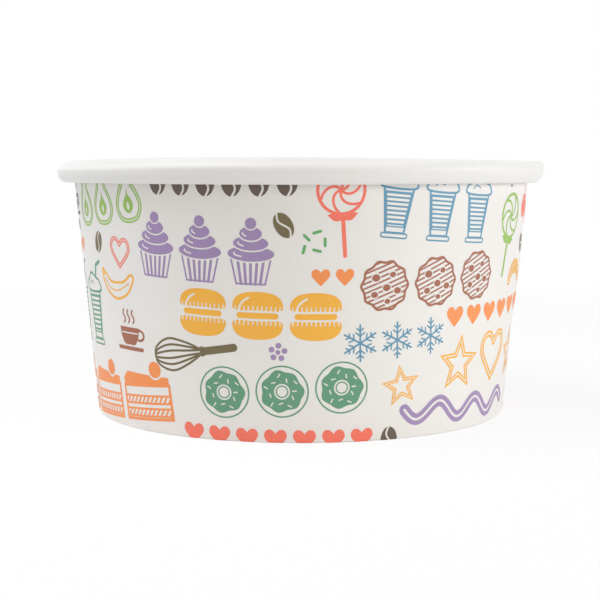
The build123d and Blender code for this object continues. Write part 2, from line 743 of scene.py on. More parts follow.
    def sway(self, angle: float, height: float) -> tuple[float, float]:
        """How far the sheet strays outwards and upwards.

        Args:
            angle: Angle round the cup.
            height: Height above the table.

        Returns:
            The two distances.
        """
        turn = math.radians(angle)
        out = sum(size * math.cos(lobes * turn + start) for lobes, size, start in self.waves)
        rise = sum(size * math.sin(lobes * turn - 2 * start) for lobes, size, start in self.waves)
        share = self.rim_wave * ease(*self.wave_climb, height) / self.wave_total
        bulge = self.swell * (1 - ease(0, self.swell_spread, apart(angle, self.swell_angle)))
        belly = self.belly * ease(*self.belly_spread, math.cos(turn))
        belly *= ease(*self.belly_climb, height) * (1 - ease(*self.belly_fade, height))
        return out * share + belly, rise * share + bulge * ease(*self.swell_climb, height)

    def roll_form(self, angle: float) -> RollForm:
        """How the roll is out of round.

        Args:
            angle: Angle round the cup.

        Returns:
            Its form there.
        """
        rightwards = math.cos(math.radians(angle))
        right = 0.5 + 0.5 * rightwards
        away = apart(angle, self.slope_angle)
        slope = self.slope * (1 - self.slope_loss * ease(*self.slope_spread, away))
        tuck = self.tuck[0] + (self.tuck[1] - self.tuck[0]) * right**2
        squeeze = self.squeeze * (1 + self.squeeze_gain * rightwards**2)
        return RollForm(slope, self.shoulder * right**3, tuck, squeeze)

    def angles(self) -> list[float]:
        """Angles of the sections, closer together at the seam.

        Returns:
            Angles along the sheet, from its inner to its outer edge.
        """
        marks = [self.inner_edge, self.outer_edge - 360, self.fade_end]
        marks += [self.ramp_start, self.inner_edge + 360, self.outer_edge]
        found = []
        for first, last in zip(marks, marks[1:]):
            step = self.wide_step if last - first > 90 else self.fine_step
            runs = math.ceil((last - first) / step)
            found += [first + (last - first) * run / runs for run in range(runs)]
        return found + [self.outer_edge]

    def place(self, point: Vector, angle: float) -> Vector:
        """Carry a point of the section to its angle round the cup.

        Args:
            point: The point, as distance from the axis and height.
            angle: The angle.

        Returns:
            Its place in metres.
        """
        out, rise = self.sway(angle, point.y)
        turn = math.radians(angle)
        reach = point.x + out
        return Vector((reach * math.cos(turn), reach * math.sin(turn), point.y + rise)) * MM

    def chart_across(self, angle: float) -> float:
        """Place of an angle across the flat chart, from edge to edge of the blank."""
        share = (angle - self.inner_edge) / (self.outer_edge - self.inner_edge)
        return along_span(self.chart.side, share)

    def print_place(self, angle: float, climb: float, lift: float) -> Vector:
        """Where a point of the blank's print side lies.

        Args:
            angle: Angle along the sheet, from its inner to its outer edge.
            climb: Distance up the wall from the fold, or less than 0 round and under it.
            lift: Height over the board.

        Returns:
            The place in metres.
        """
        s = self.sizes
        depth, stack = self.lay(angle)
        raised = (stack - s.side_board) / math.cos(s.lean)
        outer_bend = s.foot_centre + s.up_wall * raised
        bend = s.fold_radius + depth + s.side_board + lift
        if climb >= raised:
            point = s.foot_centre + s.off_wall * bend + s.up_wall * climb
            return self.place(point, angle)
        over = raised - climb
        bend -= lift * self.ink_press * ease(0, self.ink_press_run, over)
        rounded = (math.pi / 2 - s.lean) * bend
        if over <= rounded:
            way = -s.lean - over / bend
            point = outer_bend + Vector((math.cos(way), math.sin(way))) * bend
        elif over <= rounded + s.fold_land:
            point = outer_bend + Vector((rounded - over, -bend))
        else:
            way = -math.pi / 2 - (over - rounded - s.fold_land) / bend
            centre = outer_bend - Vector((s.fold_land, 0))
            point = centre + Vector((math.cos(way), math.sin(way))) * bend
        return self.place(point, angle)

    def build(self, finishes: Sequence[bpy.types.Material]) -> bpy.types.Object:
        """Sweep the sheet round the cup.

        Args:
            finishes: Materials of the food side, the print side and the cut edges.

        Returns:
            The side wall.
        """
        angles = self.angles()
        board = self.sizes.side_board
        path = self.section(0, board)
        count = len(path)
        ring = 2 * count
        lengths = [0.0]
        for first, last in zip(path, path[1:]):
            lengths.append(lengths[-1] + (last - first).length)
        along = [length / lengths[-1] for length in lengths]
        points, charts, faces, kinds = [], [], [], []
        for angle in angles:
            depth, stack = self.lay(angle)
            form = self.roll_form(angle)
            loop = self.section(depth, stack, form)
            loop += self.section(depth + board, stack, form)[::-1]
            points += [self.place(point, angle) for point in loop]
        rows = [along_span(self.chart.food, share) for share in along]
        rows += [along_span(self.chart.printed, share) for share in along[::-1]]
        levels = list(zip(rows, rows[1:]))
        strips = [(WallFace.FOOD, low, high) for low, high in levels[: count - 1]]
        strips.append((WallFace.CUT, *self.chart.curl_edge))
        strips += [(WallFace.PRINTED, low, high) for low, high in levels[count:]]
        strips.append((WallFace.CUT, *self.chart.hem_edge))
        for step, (first, last) in enumerate(zip(angles, angles[1:])):
            left, right = self.chart_across(first), self.chart_across(last)
            for index, (kind, low, high) in enumerate(strips):
                a, b = step * ring + index, step * ring + (index + 1) % ring
                faces.append((a, a + ring, b + ring, b))
                kinds.append(kind)
                charts += [(left, low), (right, low), (right, high), (left, high)]
        flaps = zip((0, (len(angles) - 1) * ring), (1, -1), self.chart.flaps)
        for base, turn_over, left in flaps:
            right = left + self.chart.flap_width
            for index in range(count - 1):
                quad = [base + index, base + index + 1]
                quad += [base + ring - 2 - index, base + ring - 1 - index]
                ends = along[index : index + 2]
                low, high = (along_span(self.chart.flap_rise, share) for share in ends)
                corners = [(left, low), (left, high), (right, high), (right, low)]
                faces.append(tuple(quad[::turn_over]))
                kinds.append(WallFace.CUT)
                charts += corners[::turn_over]
        return new_piece("side_wall_board", points, faces, finishes, kinds, charts)


@dataclass
class BaseDisc:
    """The bottom: a disc with its edge turned down into the slot at the foot.

    Attributes:
        sizes: Sizes of the cup.
        rings: Rings of the flat disc.
        bend_steps: Runs of the bend.
        skirt_steps: Runs of the skirt.
        turns: Sections round the axis.
        chart_middles: Middles of its upper and its lower side on its flat chart.
        chart_radius: Radius of each of them there.
        chart_factor: How much larger than the disc that radius stands for.
        chart_margin: How many millimetres it stands for on top of that.
        chart_step: Distance of the rows of the bend and the skirt there, in millimetres.
    """

    sizes: CupSizes
    rings: int = 16
    bend_steps: int = 10
    skirt_steps: int = 4
    turns: int = 288
    chart_middles: tuple[tuple[float, float], ...] = ((0.25, 0.25), (0.75, 0.25))
    chart_radius: float = 0.24
    chart_factor: float = 1.02
    chart_margin: float = 5.0
    chart_step: float = 0.45

    def section(self) -> tuple[list[Vector], list[Vector]]:
        """Find the section's two sides.

        Returns:
            Its upper and its lower side, from the axis to the skirt's edge.
        """
        s = self.sizes
        tilt = math.degrees(s.lean)
        outer = s.base_bend_radius + s.base_board
        bend_height = s.base_recess - s.base_bend_radius
        foot = s.foot_centre + s.off_wall * s.fold_radius
        climb = (bend_height - foot.y) * math.sin(s.lean)
        reach = foot.x + (climb - s.seal_film - outer) / math.cos(s.lean)
        centre = Vector((reach, bend_height))
        down = (bend_height - 2 * s.side_board - s.skirt_clearance) / math.cos(s.lean)
        sides = []
        for radius in (outer, s.base_bend_radius):
            arc = turned(centre, radius, 90, -90 - tilt, self.bend_steps)
            steps = [reach * ring / self.rings for ring in range(1, self.rings)]
            inner = [Vector((step, arc[0].y)) for step in steps]
            shares = [part / self.skirt_steps for part in range(1, self.skirt_steps + 1)]
            skirt = [arc[-1] - s.up_wall * down * share for share in shares]
            sides.append([*inner, *arc, *skirt])
        return sides[0], sides[1]

    def build(self, finishes: Sequence[bpy.types.Material]) -> bpy.types.Object:
        """Turn the section round the axis.

        Args:
            finishes: Materials of the board and of its cut edge.

        Returns:
            The base.
        """
        upper, lower = self.section()
        loop = upper + lower[::-1]
        ring, sides, flat = len(loop), len(upper), self.rings - 1
        reach = max(point.x for point in loop) * self.chart_factor + self.chart_margin

        def spot(index: int, turn: int) -> tuple[float, float]:
            """Place a point on the chart, the upper side left and the lower side right.

            Args:
                index: Which point of the loop it is.
                turn: Which section it is on.

            Returns:
                Its place.
            """
            above = index < sides
            side, at = (upper, index) if above else (lower, ring - 1 - index)
            beyond = max(0, at - flat + 1) * self.chart_step
            spread = side[min(at, flat - 1)].x + beyond
            angle, size = math.tau * turn / self.turns, self.chart_radius * spread / reach
            across, up = self.chart_middles[0 if above else 1]
            return across + size * math.cos(angle), up + size * math.sin(angle)

        points, faces, kinds, charts = [], [], [], []
        for turn in range(self.turns):
            angle = math.tau * turn / self.turns
            across = Vector((math.cos(angle), math.sin(angle), 0)) * MM
            points += [across * point.x + Vector((0, 0, point.y * MM)) for point in loop]
            start, after = turn * ring, (turn + 1) % self.turns * ring
            for index in range(ring - 1):
                faces.append((start + index, start + index + 1, after + index + 1, after + index))
                kinds.append(BaseFace.CUT if index == sides - 1 else BaseFace.BOARD)
                charts += [spot(index, turn), spot(index + 1, turn)]
                charts += [spot(index + 1, turn + 1), spot(index, turn + 1)]
        top, under = len(points), len(points) + 1
        points += [Vector((0, 0, side[0].y)) * MM for side in (upper, lower)]
        for turn in range(self.turns):
            start, after = turn * ring, (turn + 1) % self.turns * ring
            faces += [(top, start, after), (under, after + ring - 1, start + ring - 1)]
            kinds += [BaseFace.BOARD, BaseFace.BOARD]
            charts += [self.chart_middles[0], spot(0, turn), spot(0, turn + 1)]
            charts += [self.chart_middles[1], spot(ring - 1, turn + 1), spot(ring - 1, turn)]
        return new_piece("base_board_disc", points, faces, finishes, kinds, charts)


def new_piece(
    name: str,
    points: Sequence[Vector],
    faces: Sequence[Sequence[int]],
    finishes: Sequence[bpy.types.Material],
    kinds: Sequence[int],
    charts: Sequence[tuple[float, float]],
    crease: float = 35.0,
) -> bpy.types.Object:
    """Make an object of points and faces.

    Args:
        name: Name of the piece.
        points: Its points in metres.
        faces: Corners of its faces.
        finishes: Its materials.
        kinds: Which material each face has.
        charts: Place on the flat chart of each corner of each face.
        crease: Angle in degrees from which an edge is sharp.

    Returns:
        The object, smooth but for its sharp edges.
    """
    mesh = bpy.data.meshes.new(name)
    mesh.from_pydata([tuple(point) for point in points], [], [tuple(face) for face in faces])
    for finish in finishes:
        mesh.materials.append(finish)
    mesh.polygons.foreach_set("material_index", [int(kind) for kind in kinds])
    mesh.polygons.foreach_set("use_smooth", [True] * len(faces))
    chart = mesh.uv_layers.new(name="OFBake")
    chart.uv.foreach_set("vector", [part for corner in charts for part in corner])
    mesh.set_sharp_from_angle(angle=math.radians(crease))
    mesh.update()
    piece = bpy.data.objects.new(name, mesh)
    bpy.context.scene.collection.objects.link(piece)
    return piece


def polar(angle: float, reach: float = 1.0) -> complex:
    """The point at an angle in degrees and a distance from the middle."""
    return complex(reach * math.cos(math.radians(angle)), reach * math.sin(math.radians(angle)))


def edges_of(outline: Outline) -> list[tuple[complex, complex]]:
    """The edges of an outline, each as its two ends."""
    return list(zip(outline, outline[1:] + outline[:1]))


def oval(
    centre: complex, wide: float, high: float = 0.0, start: float = 0.0, turn: float = 360.0
) -> Outline:
    """Points on an oval or on a stretch of one.

    Args:
        centre: Its middle.
        wide: Half of its width.
        high: Half of its height, or 0 for a circle.
        start: Angle of the first point in degrees.
        turn: Angle through which it goes.

    Returns:
        Its points, without the first one again if it is whole.
    """
    high = high or wide
    whole = abs(turn) >= 360
    steps = max(6, round(abs(turn) / 360 * (14 + 7 * max(wide, high))))
    angles = [math.radians(start + turn * step / steps) for step in range(steps + (not whole))]
    return [centre + complex(wide * math.cos(a), high * math.sin(a)) for a in angles]


def slab(centre: complex, wide: float, high: float, top: float, bottom: float) -> Outline:
    """A rectangle with round corners.

    Args:
        centre: Its middle.
        wide: Its width.
        high: Its height.
        top: Radius of its upper corners.
        bottom: Radius of its lower corners.

    Returns:
        Its points.
    """
    points: Outline = []
    for side, level, start in ((1, -1, -90), (1, 1, 0), (-1, 1, 90), (-1, -1, 180)):
        radius = top if level > 0 else bottom
        inset = complex(side * (wide / 2 - radius), level * (high / 2 - radius))
        steps = max(2, round(3 + 2 * radius))
        turns = [start + 90 * step / steps for step in range(steps + 1)]
        points += [centre + inset + polar(turn, radius) for turn in turns]
    return points


def flowing(marks: Sequence[complex], closed: bool = False, steps: int = 5) -> Outline:
    """Points on a smooth curve through some marks.

    Args:
        marks: What it goes through.
        closed: Whether it comes back to the first mark.
        steps: Points from one mark to the next.

    Returns:
        Its points.
    """
    count = len(marks)
    points: Outline = []
    for index in range(count if closed else count - 1):
        if closed:
            a, b, c, d = (marks[(index + shift) % count] for shift in (-1, 0, 1, 2))
        else:
            b, c = marks[index], marks[index + 1]
            a = marks[index - 1] if index else 2 * b - c
            d = marks[index + 2] if index + 2 < count else 2 * c - b
        bend, twist = 2 * a - 5 * b + 4 * c - d, 3 * b - a - 3 * c + d
        for t in (step / steps for step in range(steps)):
            points.append(0.5 * (2 * b + (c - a) * t + bend * t**2 + twist * t**3))
    return points if closed else [*points, marks[-1]]


def mirrored(half: Sequence[complex]) -> Outline:
    """An outline made of its right half, from bottom to top, and the mirror image of it."""
    left = [complex(-point.real, point.imag) for point in reversed(half) if abs(point.real) > 1e-6]
    return [*half, *left]


def leaf(root: complex, tip: complex, belly: float) -> Outline:
    """A pointed leaf.

    Args:
        root: Where it grows from.
        tip: Its point.
        belly: Half of its greatest width.

    Returns:
        Its points.
    """
    way = tip - root
    side = way / abs(way) * 1j * belly
    shape = ((0.12, 0.5), (0.3, 0.92), (0.5, 1.0), (0.72, 0.66), (0.9, 0.24))
    right = [root + way * part - side * width for part, width in shape]
    left = [root + way * part + side * width for part, width in reversed(shape)]
    return [root, *right, tip, *left]


def starry(reach: float, notch: float, start: float = 90.0) -> Outline:
    """A five-pointed star, by how far its points and the notches between them reach."""
    return [polar(start + 36 * step, notch if step % 2 else reach) for step in range(10)]


def heart_shape(size: float) -> Outline:
    """Outline of a heart, with half its width."""
    half = [-1.05j, 0.5 - 0.55j, 0.95, 1.0 + 0.42j, 0.78 + 0.76j, 0.4 + 0.8j, 0.1 + 0.58j]
    return mirrored([*flowing([size * point for point in half]), size * 0.42j])


def turn_at(before: complex, corner: complex, after: complex) -> float:
    """More than 0 where the way turns left at a corner, and less where it turns right."""
    return ((corner - before).conjugate() * (after - corner)).imag


def is_convex(outline: Outline) -> bool:
    """Tell whether an outline turns the same way at all its corners.

    Args:
        outline: The outline.

    Returns:
        Whether it does.
    """
    ways = [b - a for a, b in edges_of(outline)]
    turns = [(a.conjugate() * b).imag for a, b in edges_of(ways)]
    return min(turns) > 0 or max(turns) < 0


@dataclass
class Sketch:
    """A motif as shapes laid one over another, each in ink or bare.

    Attributes:
        shapes: Outlines in millimetres, and whether each is inked.
    """

    shapes: list[tuple[Outline, bool]] = field(default_factory=list)

    def solid(self, *outlines: Outline) -> "Sketch":
        """Fill outlines with ink."""
        self.shapes += [(outline, True) for outline in outlines]
        return self

    def bare(self, *outlines: Outline) -> "Sketch":
        """Leave outlines without ink."""
        self.shapes += [(outline, False) for outline in outlines]
        return self

    def line(
        self, points: Outline, width: float, closed: bool = False, ink: bool = True
    ) -> "Sketch":
        """Draw a line with round ends.

        Args:
            points: What the line follows.
            width: Its width.
            closed: Whether it comes back to its first point.
            ink: Whether it is inked, or left bare.

        Returns:
            The sketch.
        """
        points = [p for i, p in enumerate(points) if not i or abs(p - points[i - 1]) > 1e-3]
        count = len(points)
        edges = []
        for index, point in enumerate(points):
            ways = []
            if closed or index:
                ways.append(point - points[index - 1])
            if closed or index < count - 1:
                ways.append(points[(index + 1) % count] - point)
            ways = [way / abs(way) for way in ways]
            middle = sum(ways)
            middle = middle / abs(middle) if abs(middle) > 0.05 else ways[0]
            reach = max(0.45, (middle * ways[0].conjugate()).real)
            edges.append(middle * 1j * width / 2 / reach)
        rounds = [] if closed else [points[0], points[-1]]
        for index in range(count if closed else count - 1):
            after = (index + 1) % count
            a, b = points[index], points[after]
            quad = [a + edges[index], a - edges[index], b - edges[after], b + edges[after]]
            if not is_convex(quad):
                side = (b - a) / abs(b - a) * 1j * width / 2
                quad = [a + side, a - side, b - side, b + side]
                rounds += [a, b]
            self.shapes.append((quad, ink))
        for end in rounds:
            self.shapes.append(([end + polar(36 * step, width / 2) for step in range(10)], ink))
        return self

    def scratch(self, points: Outline, width: float, closed: bool = False) -> "Sketch":
        """Leave a line bare."""
        return self.line(points, width, closed, ink=False)

    def outlined(self, outline: Outline, width: float) -> "Sketch":
        """Clear an outline's inside and draw its edge."""
        return self.bare(outline).line(outline, width, closed=True)

    def inlined(
        self, points: Outline, width: float, gap: float, closed: bool = True
    ) -> "Sketch":
        """Draw a bold line with a thin bare line along its middle."""
        return self.line(points, width, closed).scratch(points, gap, closed)

    def dot(self, middle: complex, size: float, clear: float) -> "Sketch":
        """Draw a solid round with bare board round it."""
        return self.bare(oval(middle, size + clear)).solid(oval(middle, size))

    def shaded(
        self, outline: Outline, pitch: float, width: float, tilt: float, edge: float
    ) -> "Sketch":
        """Clear an outline, shade its inside and draw its edge."""
        self.bare(outline).hatch(outline, pitch, width, tilt)
        return self.line(outline, edge, closed=True)

    def hatch(self, outline: Outline, pitch: float, width: float, tilt: float) -> "Sketch":
        """Shade the inside of an outline with straight lines.

        Args:
            outline: What is shaded.
            pitch: From one line to the next.
            width: Width of a line.
            tilt: Direction of the lines in degrees.

        Returns:
            The sketch.
        """
        turn = polar(tilt)
        local = [point / turn for point in outline]
        level = min(point.imag for point in local) + pitch * 0.6
        while level < max(point.imag for point in local):
            crossings = sorted(
                a.real + (b.real - a.real) * (level - a.imag) / (b.imag - a.imag)
                for a, b in edges_of(local)
                if (a.imag - level) * (b.imag - level) < 0
            )
            up = 0.5j * width
            for left, right in zip(crossings[::2], crossings[1::2]):
                first, last = complex(left, level), complex(right, level)
                quad = [first - up, last - up, last + up, first + up]
                self.shapes.append(([point * turn for point in quad], True))
            level += pitch
        return self

    def trim(self) -> tuple[list[complex], list[tuple[int, ...]]]:
        """Cut the shapes along each other and keep what is inked on top.

        Returns:
            Points and triangles of the ink.
        """
        points: list[Vector] = []
        outlines: list[list[int]] = []
        inked: list[bool] = []
        for outline, ink in self.shapes:
            area = sum((a.conjugate() * b).imag for a, b in edges_of(outline))
            if abs(area) < 1e-5:
                continue
            ordered = outline if area > 0 else outline[::-1]
            start = len(points)
            points += [Vector((point.real, point.imag)) for point in ordered]
            outlines.append(list(range(start, len(points))))
            inked.append(ink)
        found, _, faces, _, _, covers = geometry.delaunay_2d_cdt(points, [], outlines, 1, 1e-4)
        kept = [tuple(face) for face, cover in zip(faces, covers) if cover and inked[max(cover)]]
        return [complex(point.x, point.y) for point in found], kept


def ice_lolly() -> Sketch:
    """A round-topped lolly on a stick, hatched under its glaze.

    Returns:
        The sketch.
    """
    body = slab(2j, 7.4, 11.4, 3.6, 0.9)
    marks = [-3.7 + 1.4j, -2.6 + 0.2j, -1.3 + 1.3j, 0.1 - 0.6j, 1.5 + 1j, 2.7 + 0.1j, 3.7 + 1.5j]
    drip = flowing(marks)
    glaze = [point for point in body if point.imag > 1.5] + drip
    sketch = Sketch().outlined(slab(-6.2j, 1.9, 6.0, 0.3, 0.9), 0.42)
    sketch.bare(body).hatch(body, 1.25, 0.55, 38).bare(glaze).line(body, 0.6, closed=True)
    return sketch.line(drip, 0.55).line(oval(3.8j, 2.3, 2.2, 165, -70), 0.5)


def milkshake() -> Sketch:
    """A tall glass of milkshake with froth and a straw.

    Returns:
        The sketch.
    """
    glass = [-2.3 - 7j, 2.3 - 7j, 3.7 + 3.2j, -3.7 + 3.2j]
    filled = [-2.1 - 5.6j, 2.1 - 5.6j, 3.2 + 2.2j, -3.2 + 2.2j]
    froth = [-3.9 + 3.2j, -4.3 + 4.9j, -2.7 + 5.8j, -1.2 + 6.9j]
    froth += [0.6 + 6.6j, 2.0 + 6.0j, 3.9 + 5.3j, 4.1 + 3.2j]
    sketch = Sketch().line([0.9 + 3j, 2.9 + 8.6j, 5.0 + 9.4j], 0.75)
    sketch.outlined(slab(-7.6j, 6.4, 1.0, 0.4, 0.4), 0.36).outlined(glass, 0.5)
    sketch.hatch(filled, 1.0, 0.42, 0).line(filled, 0.3, closed=True)
    sketch.outlined(flowing(froth, True), 0.5)
    return sketch.line(flowing([-2.3 + 4.4j, -1.2 + 5.2j, 0.2 + 4.7j]), 0.3)


def cupcake() -> Sketch:
    """A cupcake in a pleated case.

    Returns:
        The sketch.
    """
    sketch = Sketch().outlined([-3.2 - 6j, 3.2 - 6j, 4.4 - 0.6j, -4.4 - 0.6j], 0.4)
    for share in (-0.66, -0.33, 0.0, 0.33, 0.66):
        sketch.line([complex(share * 3.2, -6), complex(share * 4.4, -0.6)], 0.62)
    for level, reach, rise in ((0.6j, 5.2, 1.7), (2.9j, 3.9, 1.6), (5.0j, 2.5, 1.5)):
        sketch.bare(oval(level, reach + 0.35, rise + 0.35)).solid(oval(level, reach, rise))
        sketch.scratch(oval(level, reach * 0.72, rise * 0.45, 165, 70), 0.34)
    return sketch.dot(7.2j, 1.25, 0.3)


def macaron() -> Sketch:
    """A macaron from the side: two shells with frilled feet and the filling between them.

    Returns:
        The sketch.
    """
    half = [1.15j, 2.8 + 1.1j, 4.9 + 1.15j, 5.5 + 2.0j, 4.9 + 3.7j, 3.1 + 4.8j, 5.15j]
    shell = flowing(mirrored(half), True)
    sketch = Sketch().solid(shell, [-point for point in shell], slab(0, 9.0, 1.3, 0.6, 0.6))
    sketch.scratch(oval(0.9j, 4.1, 3.3, 118, 62), 0.45)
    for step in range(-5, 6):
        for side in (-1, 1):
            fold = [complex(0.95 * step, 0.9 * side), complex(0.98 * step, 1.95 * side)]
            sketch.scratch(fold, 0.3)
    return sketch


def doughnut() -> Sketch:
    """An iced doughnut seen from above, with bare sprinkles.

    Returns:
        The sketch.
    """
    icing = []
    for step in range(28):
        turn = step * math.tau / 28
        reach = 4.95 + 0.27 * math.cos(7 * turn) + 0.14 * math.cos(3 * turn + 1)
        icing.append(polar(step * 360 / 28, reach))
    sketch = Sketch().line(oval(0, 6.1), 0.36, closed=True).solid(flowing(icing, True, 2))
    sketch.bare(oval(0, 1.9)).line(oval(0, 1.35), 0.3, closed=True)
    for step in range(11):
        middle, way = polar(step * 360 / 11, 2.9 + step % 2), polar(step * 137, 0.42)
        sketch.scratch([middle - way, middle + way], 0.34)
    return sketch


def cherries() -> Sketch:
    """Two cherries on their stalks.

    Returns:
        The sketch.
    """
    sketch = Sketch().line(flowing([-2.9 - 1j, -1.8 + 3j, 1.2 + 6.4j]), 0.42)
    sketch.line(flowing([2.9 - 2.2j, 2.8 + 2j, 1.2 + 6.4j]), 0.42)
    blade = leaf(1.2 + 6.4j, 6.8 + 5.2j, 1.3)
    sketch.outlined(blade, 0.42).hatch(blade, 0.8, 0.3, 60)
    for middle in (-2.9 - 2.9j, 2.9 - 4.1j):
        sketch.dot(middle, 2.6, 0.4).scratch(oval(middle, 1.7, start=110, turn=60), 0.45)
    return sketch


def strawberry() -> Sketch:
    """A strawberry in outline, with seeds and a solid crown.

    Returns:
        The sketch.
    """
    berry = [-6.6j, 2.6 - 3.9j, 4.5 + 0.2j, 3.6 + 3.1j]
    berry += [3.4j, -3.6 + 3.1j, -4.5 + 0.2j, -2.6 - 3.9j]
    sketch = Sketch().outlined(flowing(berry, True), 0.8)
    seeds = {1.4: (-2.7, -0.9, 0.9, 2.7), -0.6: (-1.8, 0, 1.8), -2.6: (-0.9, 0.9), -4.4: (0.0,)}
    for level, row in seeds.items():
        sketch.solid(*(oval(complex(across, level), 0.26, 0.44) for across in row))
    for tip in (-4.0 + 4.4j, -2.3 + 5.9j, 0.2 + 6.6j, 2.6 + 5.7j, 4.0 + 4.3j):
        sketch.solid(leaf(3.0j, tip, 0.75))
    return sketch.line([4.4j, 0.5 + 7.4j], 0.5)


def cinnamon_roll() -> Sketch:
    """A coiled bun in one swelling line.

    Returns:
        The sketch.
    """
    turns = [step * 0.30 for step in range(66)]
    coil = [polar(math.degrees(turn), 0.5 + 0.24 * turn) for turn in turns]
    return Sketch().line(coil, 0.95).scratch(coil[6:], 0.16)


def lollipop() -> Sketch:
    """A round lollipop with a swirl, on a long stick.

    Returns:
        The sketch.
    """
    sketch = Sketch().line([-9.6j, -2j], 0.8).outlined(oval(3.2j, 4.6), 0.6)
    for arm in range(6):
        turns = [arm * 60 + math.degrees(0.2 * step) for step in range(8)]
        sketch.line([3.2j + polar(turn, 0.62 * step) for step, turn in enumerate(turns)], 0.5)
    return sketch.solid(leaf(-2.4j, -3.0 - 1.4j, 0.8), leaf(-2.4j, 3.0 - 1.4j, 0.8))


def wrapped_sweet() -> Sketch:
    """A sweet twisted into its paper.

    Returns:
        The sketch.
    """
    twist = (2.6, 6.6 + 2.6j, 5.9 + 0.8j, 6.9, 5.9 - 0.8j, 6.6 - 2.6j)
    sketch = Sketch()
    for side in (-1, 1):
        sketch.outlined([complex(side * point.real, point.imag) for point in twist], 0.36)
        for rise in (1, -1):
            crease = [complex(side * 3.4, 0.2 * rise), complex(side * 5.6, 1.3 * rise)]
            sketch.line(crease, 0.24)
    return sketch.shaded(oval(0, 3.3, 2.7), 0.95, 0.5, 62, 0.5)


def star() -> Sketch:
    """A five-pointed star in a bold line with a bare inline."""
    return Sketch().inlined(starry(5.6, 2.5), 1.25, 0.3)


def heart() -> Sketch:
    """A heart in a bold line with a bare inline."""
    return Sketch().inlined(heart_shape(4.4), 1.2, 0.3)


def mint_sprig() -> Sketch:
    """A sprig of mint, its leaves in solid ink with bare ribs.

    Returns:
        The sketch.
    """
    leaves = [(-0.4 - 3.2j, -4.6 - 3.6j, 1.25), (-0.3 - 2.4j, 4.3 - 1.9j, 1.25)]
    leaves += [(0.1 + 0.4j, -4.1 + 1.2j, 1.15), (0.2 + 1.2j, 4.2 + 2.9j, 1.15)]
    leaves += [(0.2 + 3.6j, 0.2 + 8.0j, 1.2)]
    sketch = Sketch().line(flowing([-6.4j, -0.5 - 2j, 0.3 + 2j, 4.4j]), 0.42)
    for root, tip, belly in leaves:
        rib = [root + (tip - root) * share for share in (0.14, 0.8)]
        sketch.solid(leaf(root, tip, belly)).scratch(rib, 0.2)
    return sketch


def coffee_bean() -> Sketch:
    """A coffee bean with its bare crease."""
    crease = flowing([-3.1j, 0.7 - 1.3j, -0.6 + 1.2j, 3.1j])
    return Sketch().solid(oval(0, 2.0, 3.0)).scratch(crease, 0.42)


def coffee_cup() -> Sketch:
    """A cup of coffee on its saucer, steaming.

    Returns:
        The sketch.
    """
    bowl = flowing([-3.4j, 2.3 - 3.3j, 3.8 - 1.2j, 4.3 + 1.5j], steps=4)
    sketch = Sketch().line(oval(4.5 - 0.5j, 1.7, 1.4, 100, -210), 0.7)
    sketch.solid(mirrored([*bowl, 1.5j])).scratch([-3.5 - 0.1j, 3.5 - 0.1j], 0.4)
    sketch.solid(slab(-4.5j, 11.6, 1.1, 0.2, 0.5))
    for across in (-2.0, 0.0, 2.0):
        rises = (0, 0.9, 1.8, 2.7, 3.6)
        steam = [complex(across + 0.5 * math.sin(1.7 * rise), 2.8 + rise) for rise in rises]
        sketch.line(flowing(steam), 0.55)
    return sketch


def cake_slice() -> Sketch:
    """A slice of layered cake.

    Returns:
        The sketch.
    """
    sketch = Sketch().outlined([-6 - 4.2j, 5.4 - 4.2j, 5.4 + 1.6j, -6 + 1.6j], 0.5)
    for low, high in ((-3.7j, -2.4j), (-1.5j, -0.2j)):
        layer = [-6 + low, 5.4 + low, 5.4 + high, -6 + high]
        sketch.hatch(layer, 0.85, 0.36, 55).line(layer, 0.34, closed=True)
    sketch.solid([-6 + 1.6j, 5.4 + 1.6j, 5.4 + 2.9j, -4.8 + 4.0j, -6 + 2.9j])
    return sketch.dot(2.6 + 4.3j, 1.4, 0.35)


def tasting_spoon() -> Sketch:
    """A flat tasting spoon with a square-ended blade.

    Returns:
        The sketch.
    """
    handle = [-0.75 + 6j, -0.62 - 9.2j, 0.62 - 9.2j, 0.75 + 6j]
    sketch = Sketch().solid(handle, slab(-9.6j, 2.3, 3.6, 1.1, 1.1))
    sketch.solid(slab(8.4j, 4.6, 5.6, 0.9, 2.0))
    return sketch.scratch(slab(8.4j, 2.9, 3.9, 0.5, 1.2), 0.3, closed=True)


def whisk() -> Sketch:
    """A balloon whisk.

    Returns:
        The sketch.
    """
    sketch = Sketch().solid(slab(-7.2j, 1.5, 7.2, 0.3, 0.75))
    for reach in (3.1, 1.9, 0.7):
        half = [0.3 - 3.6j, reach * 0.62 - 0.6j, reach + 3.4j, reach * 0.6 + 6.6j, 7.4j]
        sketch.line(flowing(mirrored(half)), 0.42)
    return sketch.solid(slab(-3.6j, 1.9, 0.9, 0.3, 0.3))


def snowflake() -> Sketch:
    """A six-armed ice crystal.

    Returns:
        The sketch.
    """
    sketch = Sketch()
    for arm in range(6):
        way = polar(60 * arm + 30)
        sketch.line([0, way * 4.9], 0.5)
        for start, reach in ((1.9, 1.5), (3.3, 1.1)):
            for side in (-1, 1):
                fork = way * complex(math.cos(0.9), side * math.sin(0.9))
                sketch.line([way * start, way * start + fork * reach], 0.4)
    return sketch


